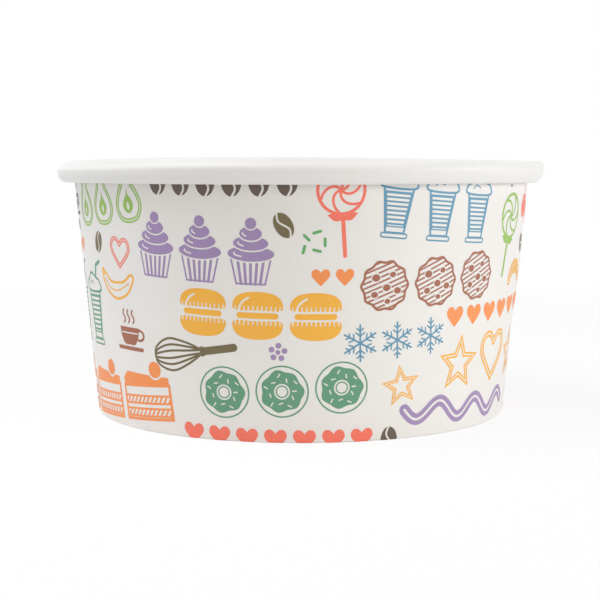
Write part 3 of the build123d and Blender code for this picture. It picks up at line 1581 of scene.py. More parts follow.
def pineapple() -> Sketch:
    """A pineapple with crossed hatching and a spiky crown.

    Returns:
        The sketch.
    """
    body = oval(-2.2j, 3.9, 5.2)
    sketch = Sketch().bare(body).hatch(body, 1.2, 0.24, 48).hatch(body, 1.2, 0.24, 132)
    sketch.line(body, 0.55, closed=True)
    blades = ((-3.6 + 5.6j, 0.7), (3.6 + 5.6j, 0.7), (-2.0 + 7.6j, 0.8), (2.0 + 7.6j, 0.8))
    for tip, belly in (*blades, (9.0j, 0.95)):
        sketch.bare(leaf(2.2j, tip * 1.04, belly + 0.25)).solid(leaf(2.4j, tip, belly))
    return sketch


def banana() -> Sketch:
    """A banana in outline with one long facet.

    Returns:
        The sketch.
    """
    peel = [-6.1 + 3.0j, -4.9 - 0.6j, -1.6 - 3.3j, 3.2 - 3.2j, 6.6 - 0.5j]
    peel += [5.8 + 0.6j, 3.0 - 0.2j, 0.2 + 0.2j, -2.6 + 1.2j, -4.4 + 3.6j]
    facet = flowing([-5.1 + 2.5j, -3.5 - 0.3j, -1.6j, 4.6 - 1.1j])
    sketch = Sketch().outlined(flowing(peel, True), 0.6).line(facet, 0.3)
    return sketch.solid(slab(-5.4 + 4.1j, 1.3, 1.9, 0.3, 0.3))


def biscuit() -> Sketch:
    """A biscuit with dark chips.

    Returns:
        The sketch.
    """
    chips = [(-1.9 + 1.6j, 0.85), (1.6 + 2.1j, 0.65), (0.3 - 0.4j, 0.8)]
    chips += [(2.6 - 1.1j, 0.75), (-2.2 - 1.7j, 0.7), (0.5 - 3.1j, 0.6)]
    waves = [polar(18 * step, 4.7 + 0.22 * (-1) ** step) for step in range(20)]
    sketch = Sketch().shaded(flowing(waves, True, 3), 0.9, 0.34, 20, 0.46)
    for middle, size in chips:
        sketch.bare(oval(middle, size + 0.2)).solid(oval(middle, size, size * 0.85))
    return sketch


def pear() -> Sketch:
    """A halved pear in a bold line with a bare inline, its core in solid ink.

    Returns:
        The sketch.
    """
    half = [-5.2j, 2.7 - 4.5j, 4.0 - 2.0j, 3.2 + 0.8j, 1.8 + 2.9j, 1.4 + 4.8j, 5.9j]
    core = [-3.5j, 1.2 - 2.9j, 1.75 - 1.6j, 1.1 - 0.2j, 0.35 + 0.7j, 1.9j]
    sketch = Sketch().inlined(flowing(mirrored(half), True), 1.1, 0.28)
    sketch.solid(flowing(mirrored(core), True)).bare(leaf(-2.9j, -0.7j, 0.5))
    sketch.line(flowing([5.9j, 0.3 + 7j, -0.4 + 8.4j]), 0.5)
    return sketch.solid(leaf(0.3 + 6.6j, 4.0 + 8.2j, 0.95))


def grapes() -> Sketch:
    """A bunch of grapes.

    Returns:
        The sketch.
    """
    bunch = [(2.6, (-3.0, 0.0, 3.0)), (0.0, (-1.6, 1.5)), (0.2, (-4.2, 4.2))]
    bunch += [(-2.5, (-2.8, 0.0, 2.8)), (-4.9, (-1.4, 1.4)), (-7.0, (0.0,))]
    sketch = Sketch().line([3.4j, 0.4 + 6.6j], 0.55).solid(leaf(0.2 + 4.8j, 4.3 + 6.6j, 1.3))
    for level, row in bunch:
        for middle in (complex(across, level) for across in row):
            sketch.dot(middle, 1.45, 0.3).scratch(oval(middle, 0.85, start=105, turn=70), 0.28)
    return sketch


def hazelnut() -> Sketch:
    """A hazelnut in its cap.

    Returns:
        The sketch.
    """
    nut = flowing([-4.0j, 2.2 - 1.8j, 2.9 + 0.8j, -2.9 + 0.8j, -2.2 - 1.8j], True)
    cap = flowing([-3.2 + 0.6j, -2.6 + 2.4j, 3.2j, 2.6 + 2.4j, 3.2 + 0.6j, 0.1j], True)
    sketch = Sketch().outlined(nut, 0.5).hatch(nut, 0.9, 0.36, 75)
    return sketch.solid(cap).line([3.0j, 0.4 + 4.4j], 0.5)


def bunting() -> Sketch:
    """A string of little flags.

    Returns:
        The sketch.
    """
    sag = [complex(across, -1.6 + 0.022 * across**2) for across in range(-15, 16)]
    sketch = Sketch().line(sag, 0.36)
    for index, across in enumerate((-12, -7.2, -2.4, 2.4, 7.2, 12)):
        middle = complex(across, -1.6 + 0.022 * across**2)
        flag = [middle - 1.8, middle - 4.6j, middle + 1.8]
        if index % 2:
            sketch.solid(flag)
        else:
            sketch.outlined(flag, 0.4).hatch(flag, 0.8, 0.34, 0)
    return sketch


def rock_stick() -> Sketch:
    """A striped stick of rock."""
    return Sketch().shaded(slab(0, 3.4, 22.0, 1.6, 1.6), 1.9, 0.95, 32, 0.42)


def vanilla_flower() -> Sketch:
    """A vanilla flower with five petals.

    Returns:
        The sketch.
    """
    sketch = Sketch()
    for turn in range(90, 450, 72):
        tip = polar(turn, 5.8)
        sketch.shaded(leaf(tip * 0.1, tip, 1.75), 0.8, 0.32, turn, 0.45)
    return sketch.dot(0, 1.1, 0.3)


def cream_wave() -> Sketch:
    """A long piped wave of cream."""
    wave = [complex(x * 0.4, 1.25 * math.sin(x * 0.4 * 0.82)) for x in range(-29, 30)]
    return Sketch().inlined(wave, 1.6, 0.34, closed=False)


def jam_jar() -> Sketch:
    """A jam jar with a cloth top.

    Returns:
        The sketch.
    """
    sketch = Sketch().outlined(slab(-1.6j, 8.4, 9.4, 1.8, 1.2), 0.46)
    sketch.hatch(slab(-2.4j, 7.2, 6.4, 0.6, 0.9), 0.9, 0.38, 0).bare(oval(-2.2j, 2.5))
    sketch.solid([point - 2.2j for point in heart_shape(1.6)])
    sketch.solid(mirrored([2.9j, 5.0 + 2.6j, 4.4 + 3.4j, 4.2 + 5.6j, 5.9j]))
    for across in (-3.2, -1.6, 0.0, 1.6, 3.2):
        sketch.scratch([complex(across, 3.6), complex(across * 0.94, 5.2)], 0.26)
    return sketch


def milk_bottle() -> Sketch:
    """A milk bottle.

    Returns:
        The sketch.
    """
    half = [-6.6j, 2.4 - 6.6j, 3.0 - 6.0j, 3.0 + 0.6j, 2.6 + 1.9j, 1.5 + 3.6j, 1.4 + 6.2j, 6.2j]
    milk = mirrored([-5.6j, 2.1 - 5.6j, 2.1 + 0.2j, 0.2j])
    sketch = Sketch().outlined(mirrored(half), 0.55).solid(milk, slab(6.9j, 3.8, 1.5, 0.5, 0.2))
    return sketch.scratch(flowing([-1.1 - 4.4j, -1.1 - 1.2j]), 0.36)


def blueberries() -> Sketch:
    """Three blueberries with starry eyes.

    Returns:
        The sketch.
    """
    sketch = Sketch()
    for middle in (-2.5 - 1.3j, 2.6 - 1.1j, 0.1 + 2.8j):
        eye = [middle + point for point in starry(0.95, 0.45, start=0)]
        sketch.dot(middle, 2.4, 0.35).bare(eye)
    return sketch


def chocolate_bar() -> Sketch:
    """A broken bar of chocolate.

    Returns:
        The sketch.
    """
    edge = [-5.2 - 3.9j, 5.2 - 3.9j, 5.2 + 2.0j, 3.4 + 3.0j, 2.2 + 2.2j, 0.6 + 3.7j, -5.2 + 3.9j]
    sketch = Sketch().solid(edge)
    for across in (-1.75, 1.75):
        sketch.scratch([across - 3.5j, across + 2.0j], 0.34)
    for level in (-1.3j, 1.3j):
        sketch.scratch([level - 4.8, level + 4.8], 0.34)
    return sketch


def wafers() -> Sketch:
    """Three hatched wafers side by side.

    Returns:
        The sketch.
    """
    sketch = Sketch()
    bars = ((-4.6 - 0.4j, 10.4, -4), (0.1 + 0.5j, 12.2, 2), (4.7 - 0.2j, 10.8, 6))
    for middle, high, tilt in bars:
        bar = [middle + point * polar(tilt) for point in slab(0, 3.5, high, 0.25, 0.25)]
        sketch.shaded(bar, 1.2, 0.55, 36, 0.6)
    return sketch


def croissant() -> Sketch:
    """A croissant in bold folds.

    Returns:
        The sketch.
    """
    sketch = Sketch()
    for index in range(11):
        middle = oval(-2.6j, 5.6, 5.0, start=172 - 15.8 * index)[0]
        sketch.dot(middle, 0.75 + 1.45 * math.sin(math.pi * (index + 0.6) / 11.2), 0.3)
    return sketch.scratch(oval(-2.6j, 6.0, 5.5, 150, -60), 0.3)


def sprinkles() -> Sketch:
    """A few loose sprinkles.

    Returns:
        The sketch.
    """
    spots = [(-2.2 + 1.0j, 20), (0.1 + 1.9j, 80), (2.2 + 0.8j, 140)]
    spots += [(-0.9 - 1.3j, 110), (1.4 - 1.7j, 35)]
    sketch = Sketch()
    for middle, tilt in spots:
        sketch.line([middle - polar(tilt, 0.7), middle + polar(tilt, 0.7)], 0.6)
    return sketch


def small_heart() -> Sketch:
    """A small solid heart."""
    return Sketch().solid(heart_shape(1.5))


def small_star() -> Sketch:
    """A small solid star."""
    return Sketch().solid(starry(1.8, 0.8))


def small_blossom() -> Sketch:
    """A small blossom of five dots round one."""
    dots = [oval(polar(90 + 72 * step, 1.15), 0.5) for step in range(5)]
    return Sketch().solid(oval(0, 0.42), *dots)


@dataclass(frozen=True)
class MotifKind:
    """A motif of the print, alone or in a row with others, and how it may be laid.

    Attributes:
        draws: What draws each motif of the row.
        high: Height of the row in millimetres.
        inks: Inks that suit it.
        tilt: How far it may lean from upright, in degrees.
        lying: How often it is laid on its side.
    """

    draws: tuple[Callable[[], Sketch], ...]
    high: float
    inks: tuple[Ink, ...]
    tilt: float = 4.0
    lying: float = 0.0


ROWS = (
    MotifKind((ice_lolly,) * 4, 11.0, (Ink.SAGE, Ink.OCHRE, Ink.STEEL_BLUE), 3, 0.1),
    MotifKind((star, heart) * 2, 8.6, (Ink.PURPLE, Ink.OCHRE, Ink.DARK_BROWN), 3, 0.2),
    MotifKind((cherries,) * 3, 9.6, (Ink.CORAL, Ink.RED_BROWN)),
    MotifKind((doughnut,) * 3, 8.4, (Ink.ORANGE, Ink.SAGE)),
    MotifKind((cupcake,) * 3, 10.2, (Ink.ORANGE, Ink.PURPLE)),
    MotifKind((macaron,) * 3, 7.2, (Ink.PURPLE, Ink.OCHRE), 3, 0.4),
    MotifKind((strawberry,) * 4, 9.4, (Ink.CORAL, Ink.ORANGE)),
    MotifKind((milkshake,) * 3, 12.4, (Ink.OCHRE, Ink.STEEL_BLUE, Ink.SAGE)),
    MotifKind((pear,) * 3, 10.4, (Ink.LIME, Ink.OCHRE, Ink.SAGE)),
    MotifKind((cake_slice,) * 3, 8.4, (Ink.STEEL_BLUE, Ink.ORANGE), 3),
    MotifKind((pineapple,) * 2, 13.0, (Ink.OCHRE, Ink.SAGE)),
    MotifKind((wrapped_sweet,) * 2, 6.2, (Ink.STEEL_BLUE, Ink.CORAL), 3, 0.3),
    MotifKind((croissant,) * 2, 7.0, (Ink.ORANGE, Ink.OCHRE)),
    MotifKind((biscuit,) * 3, 8.2, (Ink.OCHRE, Ink.RED_BROWN)),
    MotifKind((bunting,), 7.4, (Ink.ORANGE, Ink.PURPLE, Ink.STEEL_BLUE), 3),
    MotifKind((cream_wave,), 4.4, (Ink.OCHRE, Ink.STEEL_BLUE, Ink.PURPLE), 4, 0.3),
)
LOW_ROWS = (
    MotifKind((coffee_bean,) * 6, 5.2, (Ink.DARK_BROWN, Ink.OLIVE), 3, 0.4),
    MotifKind((small_heart,) * 7, 3.4, (Ink.CORAL, Ink.ORANGE), 3, 0.3),
    MotifKind((small_star,) * 6, 4.4, (Ink.OCHRE, Ink.ORANGE, Ink.STEEL_BLUE), 3, 0.3),
    MotifKind((hazelnut,) * 4, 5.8, (Ink.OLIVE, Ink.RED_BROWN), 3, 0.3),
    MotifKind((mint_sprig,) * 3, 7.4, (Ink.FRESH_GREEN, Ink.SAGE), 3, 0.5),
    MotifKind((snowflake,) * 3, 6.4, (Ink.STEEL_BLUE, Ink.PURPLE), 3, 0.3),
    MotifKind((blueberries,) * 2, 6.6, (Ink.STEEL_BLUE, Ink.PURPLE), 3, 0.3),
    MotifKind((rock_stick,), 19.0, (Ink.RED_BROWN, Ink.SAGE, Ink.CORAL), 6, 0.5),
    MotifKind((tasting_spoon,), 18.0, (Ink.DARK_BROWN, Ink.OLIVE, Ink.STEEL_BLUE), 8, 0.6),
    MotifKind((whisk,), 16.0, (Ink.DARK_BROWN, Ink.OLIVE), 10, 0.6),
    MotifKind((lollipop,), 15.0, (Ink.PURPLE, Ink.LIME, Ink.CORAL), 10),
)
SINGLES = (
    MotifKind((coffee_cup,), 8.6, (Ink.DARK_BROWN, Ink.RED_BROWN), 5),
    MotifKind((grapes,), 11.6, (Ink.SAGE, Ink.PURPLE, Ink.STEEL_BLUE), 8),
    MotifKind((banana,), 6.2, (Ink.OCHRE, Ink.ORANGE), 20),
    MotifKind((cinnamon_roll,), 8.0, (Ink.OCHRE, Ink.RED_BROWN, Ink.ORANGE), 20),
    MotifKind((vanilla_flower,), 8.8, (Ink.OCHRE, Ink.OLIVE), 20),
    MotifKind((jam_jar,), 10.6, (Ink.CORAL, Ink.ORANGE), 6),
    MotifKind((milk_bottle,), 11.4, (Ink.STEEL_BLUE, Ink.SAGE, Ink.DARK_BROWN), 6),
    MotifKind((chocolate_bar,), 7.0, (Ink.DARK_BROWN, Ink.RED_BROWN), 8),
    MotifKind((wafers,), 10.0, (Ink.SAGE, Ink.OCHRE, Ink.ORANGE), 6),
    MotifKind((heart,), 7.0, (Ink.CORAL, Ink.ORANGE), 10),
    MotifKind((star,), 8.0, (Ink.OCHRE, Ink.ORANGE, Ink.PURPLE), 16),
    MotifKind((strawberry,), 9.0, (Ink.CORAL, Ink.ORANGE), 16),
    MotifKind((doughnut,), 8.2, (Ink.ORANGE, Ink.RED_BROWN), 20),
)
SMALL = (
    MotifKind((coffee_bean,), 4.6, (Ink.DARK_BROWN, Ink.OLIVE), 60),
    MotifKind((small_heart,) * 2, 3.0, (Ink.CORAL, Ink.ORANGE), 15, 0.3),
    MotifKind((small_star,) * 2, 3.6, (Ink.OCHRE, Ink.STEEL_BLUE, Ink.ORANGE), 20, 0.3),
    MotifKind((small_blossom,), 3.4, (Ink.PURPLE, Ink.OCHRE, Ink.SAGE, Ink.ORANGE), 36),
    MotifKind((sprinkles,), 4.6, tuple(Ink), 90),
)


def hull_of(points: Sequence[complex]) -> Outline:
    """The smallest convex outline round some points.

    Args:
        points: The points.

    Returns:
        Its corners, anticlockwise.
    """
    ordered = sorted(set(points), key=lambda point: (point.real, point.imag))
    sides = []
    for run in (ordered, ordered[::-1]):
        side: Outline = []
        for point in run:
            while len(side) > 1 and turn_at(side[-2], side[-1], point) <= 0:
                side.pop()
            side.append(point)
        sides += side[:-1]
    return sides


@dataclass
class Drawing:
    """A motif or a row of them, cut into inked triangles and ready to be laid many times.

    Attributes:
        kind: The motif.
        gap: Bare board between two motifs of a row.
    """

    kind: MotifKind
    gap: float = 1.0

    def __post_init__(self) -> None:
        """Draw it, cut it, and find the hull that keeps others away."""
        self.points: list[complex] = []
        self.faces: list[tuple[int, ...]] = []
        reach = 0.0
        for draw in self.kind.draws:
            points, faces = draw().trim()
            inked = [points[corner] for face in faces for corner in face]
            left, right = (edge(point.real for point in inked) for edge in (min, max))
            low, high = (edge(point.imag for point in inked) for edge in (min, max))
            size = self.kind.high / (high - low)
            move = complex(reach - left * size, -(low + high) / 2 * size)
            start = len(self.points)
            self.points += [point * size + move for point in points]
            self.faces += [tuple(start + corner for corner in face) for face in faces]
            reach += (right - left) * size + self.gap
        self.points = [point - (reach - self.gap) / 2 for point in self.points]
        self.hull = hull_of([self.points[corner] for face in self.faces for corner in face])


@dataclass(frozen=True)
class Mark:
    """A motif laid on the blank.

    Attributes:
        drawing: What is laid.
        ink: Its ink.
        angle: Where its middle is round the cup.
        climb: How far up the wall its middle is.
        turn: How it is turned on the blank, in degrees.
        size: Its scale.
    """

    drawing: Drawing
    ink: Ink
    angle: float
    climb: float
    turn: float
    size: float


@dataclass(frozen=True)
class Round:
    """One round of laying motifs.

    Attributes:
        kinds: What is laid.
        times: How often each is laid.
        tries: How many places are tried for it.
        sizes: Its least and greatest scale.
    """

    kinds: tuple[MotifKind, ...]
    times: int
    tries: int
    sizes: tuple[float, float]


ROUNDS = (
    Round(ROWS, 2, 150, (1.02, 1.26)),
    Round(LOW_ROWS, 2, 120, (1.0, 1.2)),
    Round(ROWS, 1, 60, (0.7, 0.85)),
    Round(SINGLES, 3, 60, (0.75, 1.1)),
    Round(SMALL, 20, 14, (0.85, 1.1)),
)


@dataclass
class Print:
    """The all-over print of the side wall, one piece for each ink.

    Attributes:
        wall: The side wall that carries it.
        seed: Which layout is drawn.
        gap: Bare board left between one motif and the next.
        crowd: Out to how many gaps from a motif its neighbours are counted.
        cell: Size of the cells that keep the layout's count of taken places.
        middle_radius: Radius at which the layout counts angles as lengths.
        choices: How many free places are compared for one motif.
        overrun: How far past the sheet's edges a motif's middle may lie, in degrees.
        tuck: Share of a motif's height above its middle that has to be on the print.
        stray: How far it may be off the print all the same.
        far: Distance that is counted for an ink without a mark.
        favour: Least and greatest factor by which chance favours an ink.
        top: How far up the wall the print goes.
        bottom: How far it goes round the fold under the wall.
        side_clearance: How far it keeps off the sheet's cut edges, in degrees.
        lift: Height of the ink over the board.
        facet: Greatest width of a flat of ink across the wall.
        fold_top: How far up the wall the narrow flats begin that follow the fold.
        fold_facet: Height of one of them.
        fold_facets: How many there are.
        speck: Scraps of ink narrower than this are taken out.
        chart_foot: Where on the flat chart the print begins.
        chart_scale: Its length on the chart for each millimetre up the wall.
    """

    wall: SideWall
    seed: int = 46
    gap: float = 1.2
    crowd: float = 1.6
    cell: float = 0.55
    middle_radius: float = 40.9
    choices: int = 6
    overrun: float = 12.0
    tuck: float = 0.3
    stray: float = 1.0
    far: float = 60.0
    favour: tuple[float, float] = (0.8, 1.2)
    top: float = 43.4
    bottom: float = -1.2
    side_clearance: float = 0.01
    lift: float = 0.02
    facet: float = 1.5
    fold_top: float = 0.4
    fold_facet: float = 0.1
    fold_facets: int = 16
    speck: float = 0.002
    chart_foot: float = 0.02
    chart_scale: float = 0.02

    def compose(self) -> list[Mark]:
        """Lay the motifs, the rows and large ones first.

        Returns:
            All marks of the print.
        """
        chance = random.Random(self.seed)
        drawings = {kind: Drawing(kind) for kind in ROWS + LOW_ROWS + SINGLES + SMALL}
        self.taken: set[tuple[int, int]] = set()
        marks: list[Mark] = []
        for laying in ROUNDS:
            queue = [kind for kind in laying.kinds for _ in range(laying.times)]
            chance.shuffle(queue)
            for kind in queue:
                mark = self.find_place(drawings[kind], laying, marks, chance)
                if mark:
                    marks.append(mark)
        return marks

    def find_place(
        self, drawing: Drawing, laying: Round, marks: Sequence[Mark], chance: random.Random
    ) -> Mark | None:
        """Try places for a motif and take the snuggest of the first free ones.

        Args:
            drawing: The motif.
            laying: The round in which it is laid.
            marks: What is laid already.
            chance: Source of the random places.

        Returns:
            The mark, or None if no place was free.
        """
        last = self.wall.outer_edge + self.overrun
        first = self.wall.outer_edge - 360 - self.overrun
        size = chance.uniform(*laying.sizes)
        turn = chance.uniform(-drawing.kind.tilt, drawing.kind.tilt)
        if chance.random() < drawing.kind.lying:
            turn += 90
        spin = polar(turn) * size
        hull = [point * spin for point in drawing.hull]
        cells = self.cells_of(hull, self.gap / 2)
        margin = set(self.cells_of(hull, self.gap * self.crowd)) - set(cells)
        inside = max(abs(point.imag) for point in hull) * self.tuck
        found: list[tuple[int, float, float, list[tuple[int, int]]]] = []
        for _ in range(laying.tries):
            angle = chance.uniform(first, last)
            climb = chance.uniform(inside - self.stray, self.top + self.stray - inside)
            across = round(math.radians(angle) * self.middle_radius / self.cell)
            up = round(climb / self.cell)
            moved = [(across + i, up + j) for i, j in cells]
            if self.taken.isdisjoint(moved):
                crowd = sum((across + i, up + j) in self.taken for i, j in margin)
                found.append((crowd, angle, climb, moved))
                if len(found) == self.choices:
                    break
        if not found:
            return None
        _, angle, climb, moved = max(found)
        self.taken.update(moved)
        ink = self.pick_ink(drawing.kind, angle, climb, marks, chance)
        return Mark(drawing, ink, angle, climb, turn, size)

    def cells_of(self, hull: Outline, margin: float) -> list[tuple[int, int]]:
        """Find the cells that a hull takes with a margin round it.

        Args:
            hull: Its corners, anticlockwise.
            margin: Width of the margin.

        Returns:
            The cells, counted from its middle.
        """
        middle = sum(hull) / len(hull)
        wide = [point + (point - middle) / abs(point - middle) * margin for point in hull]
        sides = edges_of(wide)
        reach = math.ceil(max(abs(point) for point in wide) / self.cell)
        cells = []
        for i in range(-reach, reach + 1):
            for j in range(-reach, reach + 1):
                point = complex(i, j) * self.cell
                if all(((b - a).conjugate() * (point - a)).imag >= 0 for a, b in sides):
                    cells.append((i, j))
        return cells

    def pick_ink(
        self,
        kind: MotifKind,
        angle: float,
        climb: float,
        marks: Sequence[Mark],
        chance: random.Random,
    ) -> Ink:
        """Pick the ink whose nearest mark is farthest away.

        Args:
            kind: What is laid.
            angle: Where its middle is round the cup.
            climb: How far up the wall its middle is.
            marks: What is laid already.
            chance: Source of the little chance in it.

        Returns:
            The ink.
        """

        def clearance(ink: Ink) -> float:
            """Find the distance to the nearest mark in an ink, with a little chance.

            Args:
                ink: The ink.

            Returns:
                The distance.
            """
            ways = [
                (math.radians(mark.angle - angle) * self.middle_radius, mark.climb - climb)
                for mark in marks
                if mark.ink is ink
            ]
            nearest = min((math.hypot(*way) for way in ways), default=self.far)
            return nearest * chance.uniform(*self.favour)

        return max(kind.inks, key=clearance)

    def unroll(self, mark: Mark) -> tuple[list[complex], list[tuple[int, ...]]]:
        """Cut a mark to the blank.

        Args:
            mark: The mark.

        Returns:
            Its points, as angle round the cup and climb up the wall, and its faces.
        """
        wall = self.wall
        spin = polar(mark.turn)
        cut = bmesh.new()
        places = [point * spin * mark.size for point in mark.drawing.points]
        corners = [cut.verts.new((place.real, place.imag, 0)) for place in places]
        for face in mark.drawing.faces:
            cut.faces.new([corners[index] for index in face])
        reach = max(abs(point) for point in mark.drawing.hull) * mark.size
        step = -math.floor(reach / self.facet) * self.facet
        while step < reach:
            self.slice(cut, (step, 0), (1, 0))
            step += self.facet
        sine = math.sin(wall.sizes.lean)
        apex = (wall.sizes.foot_radius - wall.sizes.fold_radius) / sine
        for vert in cut.verts:
            away = apex + mark.climb + vert.co.y
            turn = math.degrees(math.atan2(vert.co.x, away) / sine)
            vert.co = (mark.angle + turn, math.hypot(vert.co.x, away) - apex, 0)
        self.slice(cut, (0, self.top), (0, 1), drop=True)
        self.slice(cut, (0, self.bottom), (0, -1), drop=True)
        first = wall.outer_edge - 360 + 2 * self.side_clearance
        last = wall.outer_edge - self.side_clearance
        self.slice(cut, (last, 0), (1, 0), drop=True)
        self.slice(cut, (first, 0), (-1, 0), drop=True)
        if any(vert.co.y < self.fold_top + self.fold_facet for vert in cut.verts):
            for step in range(self.fold_facets):
                self.slice(cut, (0, self.fold_top - step * self.fold_facet), (0, 1))
        bmesh.ops.dissolve_degenerate(cut, dist=self.speck, edges=cut.edges)
        bmesh.ops.triangulate(cut, faces=cut.faces)
        cut.verts.index_update()
        points = [complex(vert.co.x, vert.co.y) for vert in cut.verts]
        whole = (face for face in cut.faces if face.calc_area() > self.speck**2)
        faces = [tuple(vert.index for vert in face.verts) for face in whole]
        cut.free()
        return points, faces

    @staticmethod
    def slice(
        cut: bmesh.types.BMesh,
        spot: tuple[float, float],
        way: tuple[float, float],
        drop: bool = False,
    ) -> None:
        """Cut the flat mesh along a straight line.

        Args:
            cut: The mesh.
            spot: A point of the line.
            way: Direction across the line.
            drop: Whether what lies beyond the line is taken off.
        """
        parts = [*cut.verts, *cut.edges, *cut.faces]
        bmesh.ops.bisect_plane(
            cut, geom=parts, dist=1e-5, plane_co=(*spot, 0), plane_no=(*way, 0), clear_outer=drop
        )

    def build(self) -> list[bpy.types.Object]:
        """Lay the print on the wall.

        Returns:
            One piece for each ink.
        """
        sheets: dict[Ink, tuple[list, list, list]] = {ink: ([], [], []) for ink in Ink}
        for mark in self.compose():
            flat, faces = self.unroll(mark)
            points, triangles, charts = sheets[mark.ink]
            start = len(points)
            points += [self.wall.print_place(p.real, p.imag, self.lift) for p in flat]
            triangles += [tuple(start + corner for corner in face) for face in faces]
            for place in (flat[corner] for face in faces for corner in face):
                up = self.chart_foot + self.chart_scale * (place.imag - self.bottom)
                charts.append((self.wall.chart_across(place.real), up))
        pieces = []
        for ink, (points, triangles, charts) in sheets.items():
            finish = InkFinish(ink).material()
            kinds = [0] * len(triangles)
            pieces.append(new_piece(ink.piece_name, points, triangles, [finish], kinds, charts))
        return pieces


# Where the lamps point: the middle of the cup, in metres.
AIM = (0.0, 0.0, 0.025)


def hung(round_right: float, climb: float, away: float) -> tuple[float, float, float]:
    """Where a lamp hangs.

    Args:
        round_right: Degrees to the right of the camera, seen from the cup.
        climb: Degrees above the cup.
        away: Distance from the cup in metres.

    Returns:
        The place in metres.
    """
    turn, rise = math.radians(round_right), math.radians(climb)
    level = away * math.cos(rise)
    return level * math.sin(turn), -level * math.cos(turn), away * math.sin(rise) + AIM[2]


class Tint(Enum):
    """Colours of the lamps' light."""

    COOL = (0.945, 0.968, 1.0)
    WARM = (1.0, 0.945, 0.80)

    @property
    def brightness(self) -> float:
        """How bright the light looks next to a white one."""
        red, green, blue = self.value
        return 0.2126 * red + 0.7152 * green + 0.0722 * blue


@dataclass(frozen=True)
class Lamp:
    """A soft lamp.

    Attributes:
        name: Name of the lamp.
        place: Where it hangs, in metres.
        width: Width of its face in metres.
        height: Height of its face in metres.
        level: How brightly it alone would light a white card that faces it, where 1 is white.
        tint: Colour of its light.
    """

    name: str
    place: tuple[float, float, float]
    width: float
    height: float
    level: float
    tint: Tint = Tint.COOL

    def hang(self, aim: Sequence[float]) -> None:
        """Hang the lamp so that it faces a point.

        Args:
            aim: The point, in metres.
        """
        light = bpy.data.lights.new(self.name, "AREA")
        light.shape = "RECTANGLE"
        light.size = self.width
        light.size_y = self.height
        light.color = self.tint.value
        away = Vector(aim) - Vector(self.place)
        light.energy = self.level * math.pi**2 * away.length_squared / self.tint.brightness
        lamp = bpy.data.objects.new(self.name, light)
        lamp.location = self.place
        lamp.rotation_euler = away.to_track_quat("-Z", "Y").to_euler()
        bpy.context.scene.collection.objects.link(lamp)


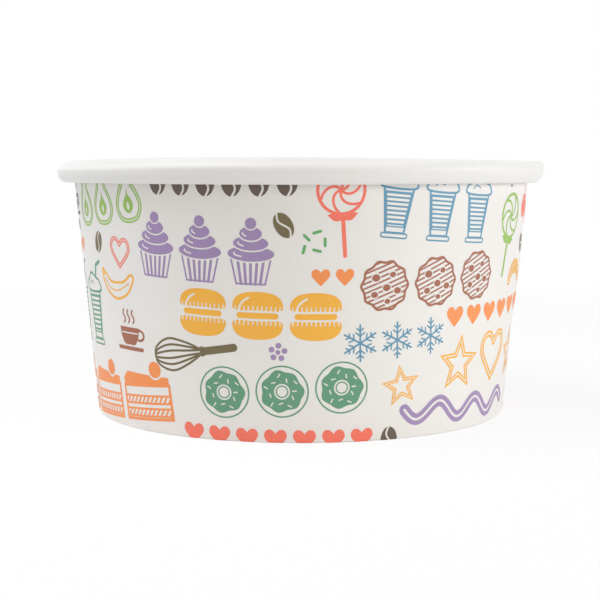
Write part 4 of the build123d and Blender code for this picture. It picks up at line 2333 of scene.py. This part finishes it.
@dataclass
class Studio:
    """Floor, world, lamps and camera.

    Attributes:
        lamps: The soft lamps.
        ambient: Level of the even light from all round.
        floor_reach: How far the floor goes to each side, in metres.
        camera_place: Where the camera stands, in millimetres.
        camera_pitch: How far it looks down, in degrees.
        lens: Its focal length in millimetres.
        sensor: Width of its sensor in millimetres.
        sight: How near and how far off it sees, in metres.
    """

    lamps: Sequence[Lamp] = (
        Lamp("low_right_softbox", hung(75, 9.5, 0.76), 0.5, 0.30, 0.46),
        Lamp("front_right_softbox", hung(40, 11, 0.76), 0.5, 0.34, 0.115, Tint.WARM),
        Lamp("front_softbox", hung(0, 25, 0.75), 0.5, 0.5, 0.11, Tint.WARM),
        Lamp("low_left_softbox", hung(-85, 11, 0.76), 0.5, 0.34, 0.118),
        Lamp("left_softbox", hung(-105, 22, 0.75), 0.5, 0.5, 0.075),
        Lamp("top_softbox", hung(0, 90, 0.775), 0.8, 0.8, 0.18),
        Lamp("top_left_softbox", hung(-80, 60, 0.85), 0.8, 0.5, 0.56),
    )
    ambient: float = 0.22
    floor_reach: float = 12.0
    camera_place: tuple[float, float, float] = (-0.13, -261.9, 45.0)
    camera_pitch: float = 5.378
    lens: float = 81.6
    sensor: float = 36.0
    sight: tuple[float, float] = (0.01, 20.0)

    def build(self) -> None:
        """Set the studio up."""
        self.lay_floor()
        self.light_world()
        for lamp in self.lamps:
            lamp.hang(AIM)
        self.set_camera()
        bpy.context.scene.view_settings.view_transform = "Standard"

    def lay_floor(self) -> None:
        """Lay the white floor."""
        half = self.floor_reach
        corners = [(-half, -half, 0), (half, -half, 0), (half, half, 0), (-half, half, 0)]
        mesh = bpy.data.meshes.new("studio_floor")
        mesh.from_pydata(corners, [], [(0, 1, 2, 3)])
        mesh.materials.append(FloorFinish().material())
        floor = bpy.data.objects.new("studio_floor", mesh)
        bpy.context.scene.collection.objects.link(floor)

    def light_world(self) -> None:
        """Light the surroundings evenly, and show them white."""
        world = bpy.data.worlds.new("studio_world")
        world.use_nodes = True
        bpy.context.scene.world = world
        sheet = NodeSheet(world.node_tree)
        level = self.ambient + sheet.shown() * (1 - self.ambient)
        inputs = {"Color": (1, 1, 1, 1), "Strength": level}
        light = sheet.add("ShaderNodeBackground", inputs=inputs)
        sheet.add("ShaderNodeOutputWorld", inputs={"Surface": light})

    def set_camera(self) -> None:
        """Place the camera and make it the scene's."""
        data = bpy.data.cameras.new("camera")
        data.sensor_width = self.sensor
        data.lens = self.lens
        data.clip_start, data.clip_end = self.sight
        camera = bpy.data.objects.new("camera", data)
        camera.location = [part * MM for part in self.camera_place]
        camera.rotation_euler = (math.radians(90 - self.camera_pitch), 0, 0)
        bpy.context.scene.collection.objects.link(camera)
        bpy.context.scene.camera = camera


def main() -> None:
    """Build the cup and its studio, and log how many faces each of its pieces has."""
    logging.basicConfig(level=logging.INFO, format="%(name)s: %(message)s")
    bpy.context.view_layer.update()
    sizes = CupSizes()
    food_side = BoardFinish("board_food_side", srgb(244, 242, 240), srgb(237, 235, 232), 0.38)
    print_side = BoardFinish("board_print_side", srgb(243, 240, 237), srgb(236, 232, 228), 0.44)
    base_side = BoardFinish("board_base", srgb(244, 242, 240), srgb(237, 235, 232), 0.42)
    cut_edge = CutEdgeFinish("board_cut_edge")
    edge = cut_edge.material()

    wall = SideWall(sizes)
    wall_piece = wall.build([food_side.material(), print_side.material(), edge])
    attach(wall_piece, "root")
    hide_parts("side_wall")
    log.info("side wall: %d faces", len(wall_piece.data.polygons))

    for ink_piece in Print(wall).build():
        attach(ink_piece, "root")
        log.info("%s: %d faces", ink_piece.name, len(ink_piece.data.polygons))

    base_piece = BaseDisc(sizes).build([base_side.material(), edge])
    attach(base_piece, "root")
    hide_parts("base_disc")
    log.info("base disc: %d faces", len(base_piece.data.polygons))

    Studio().build()
    log.info("studio is set up")


if __name__ == "__main__":
    main()
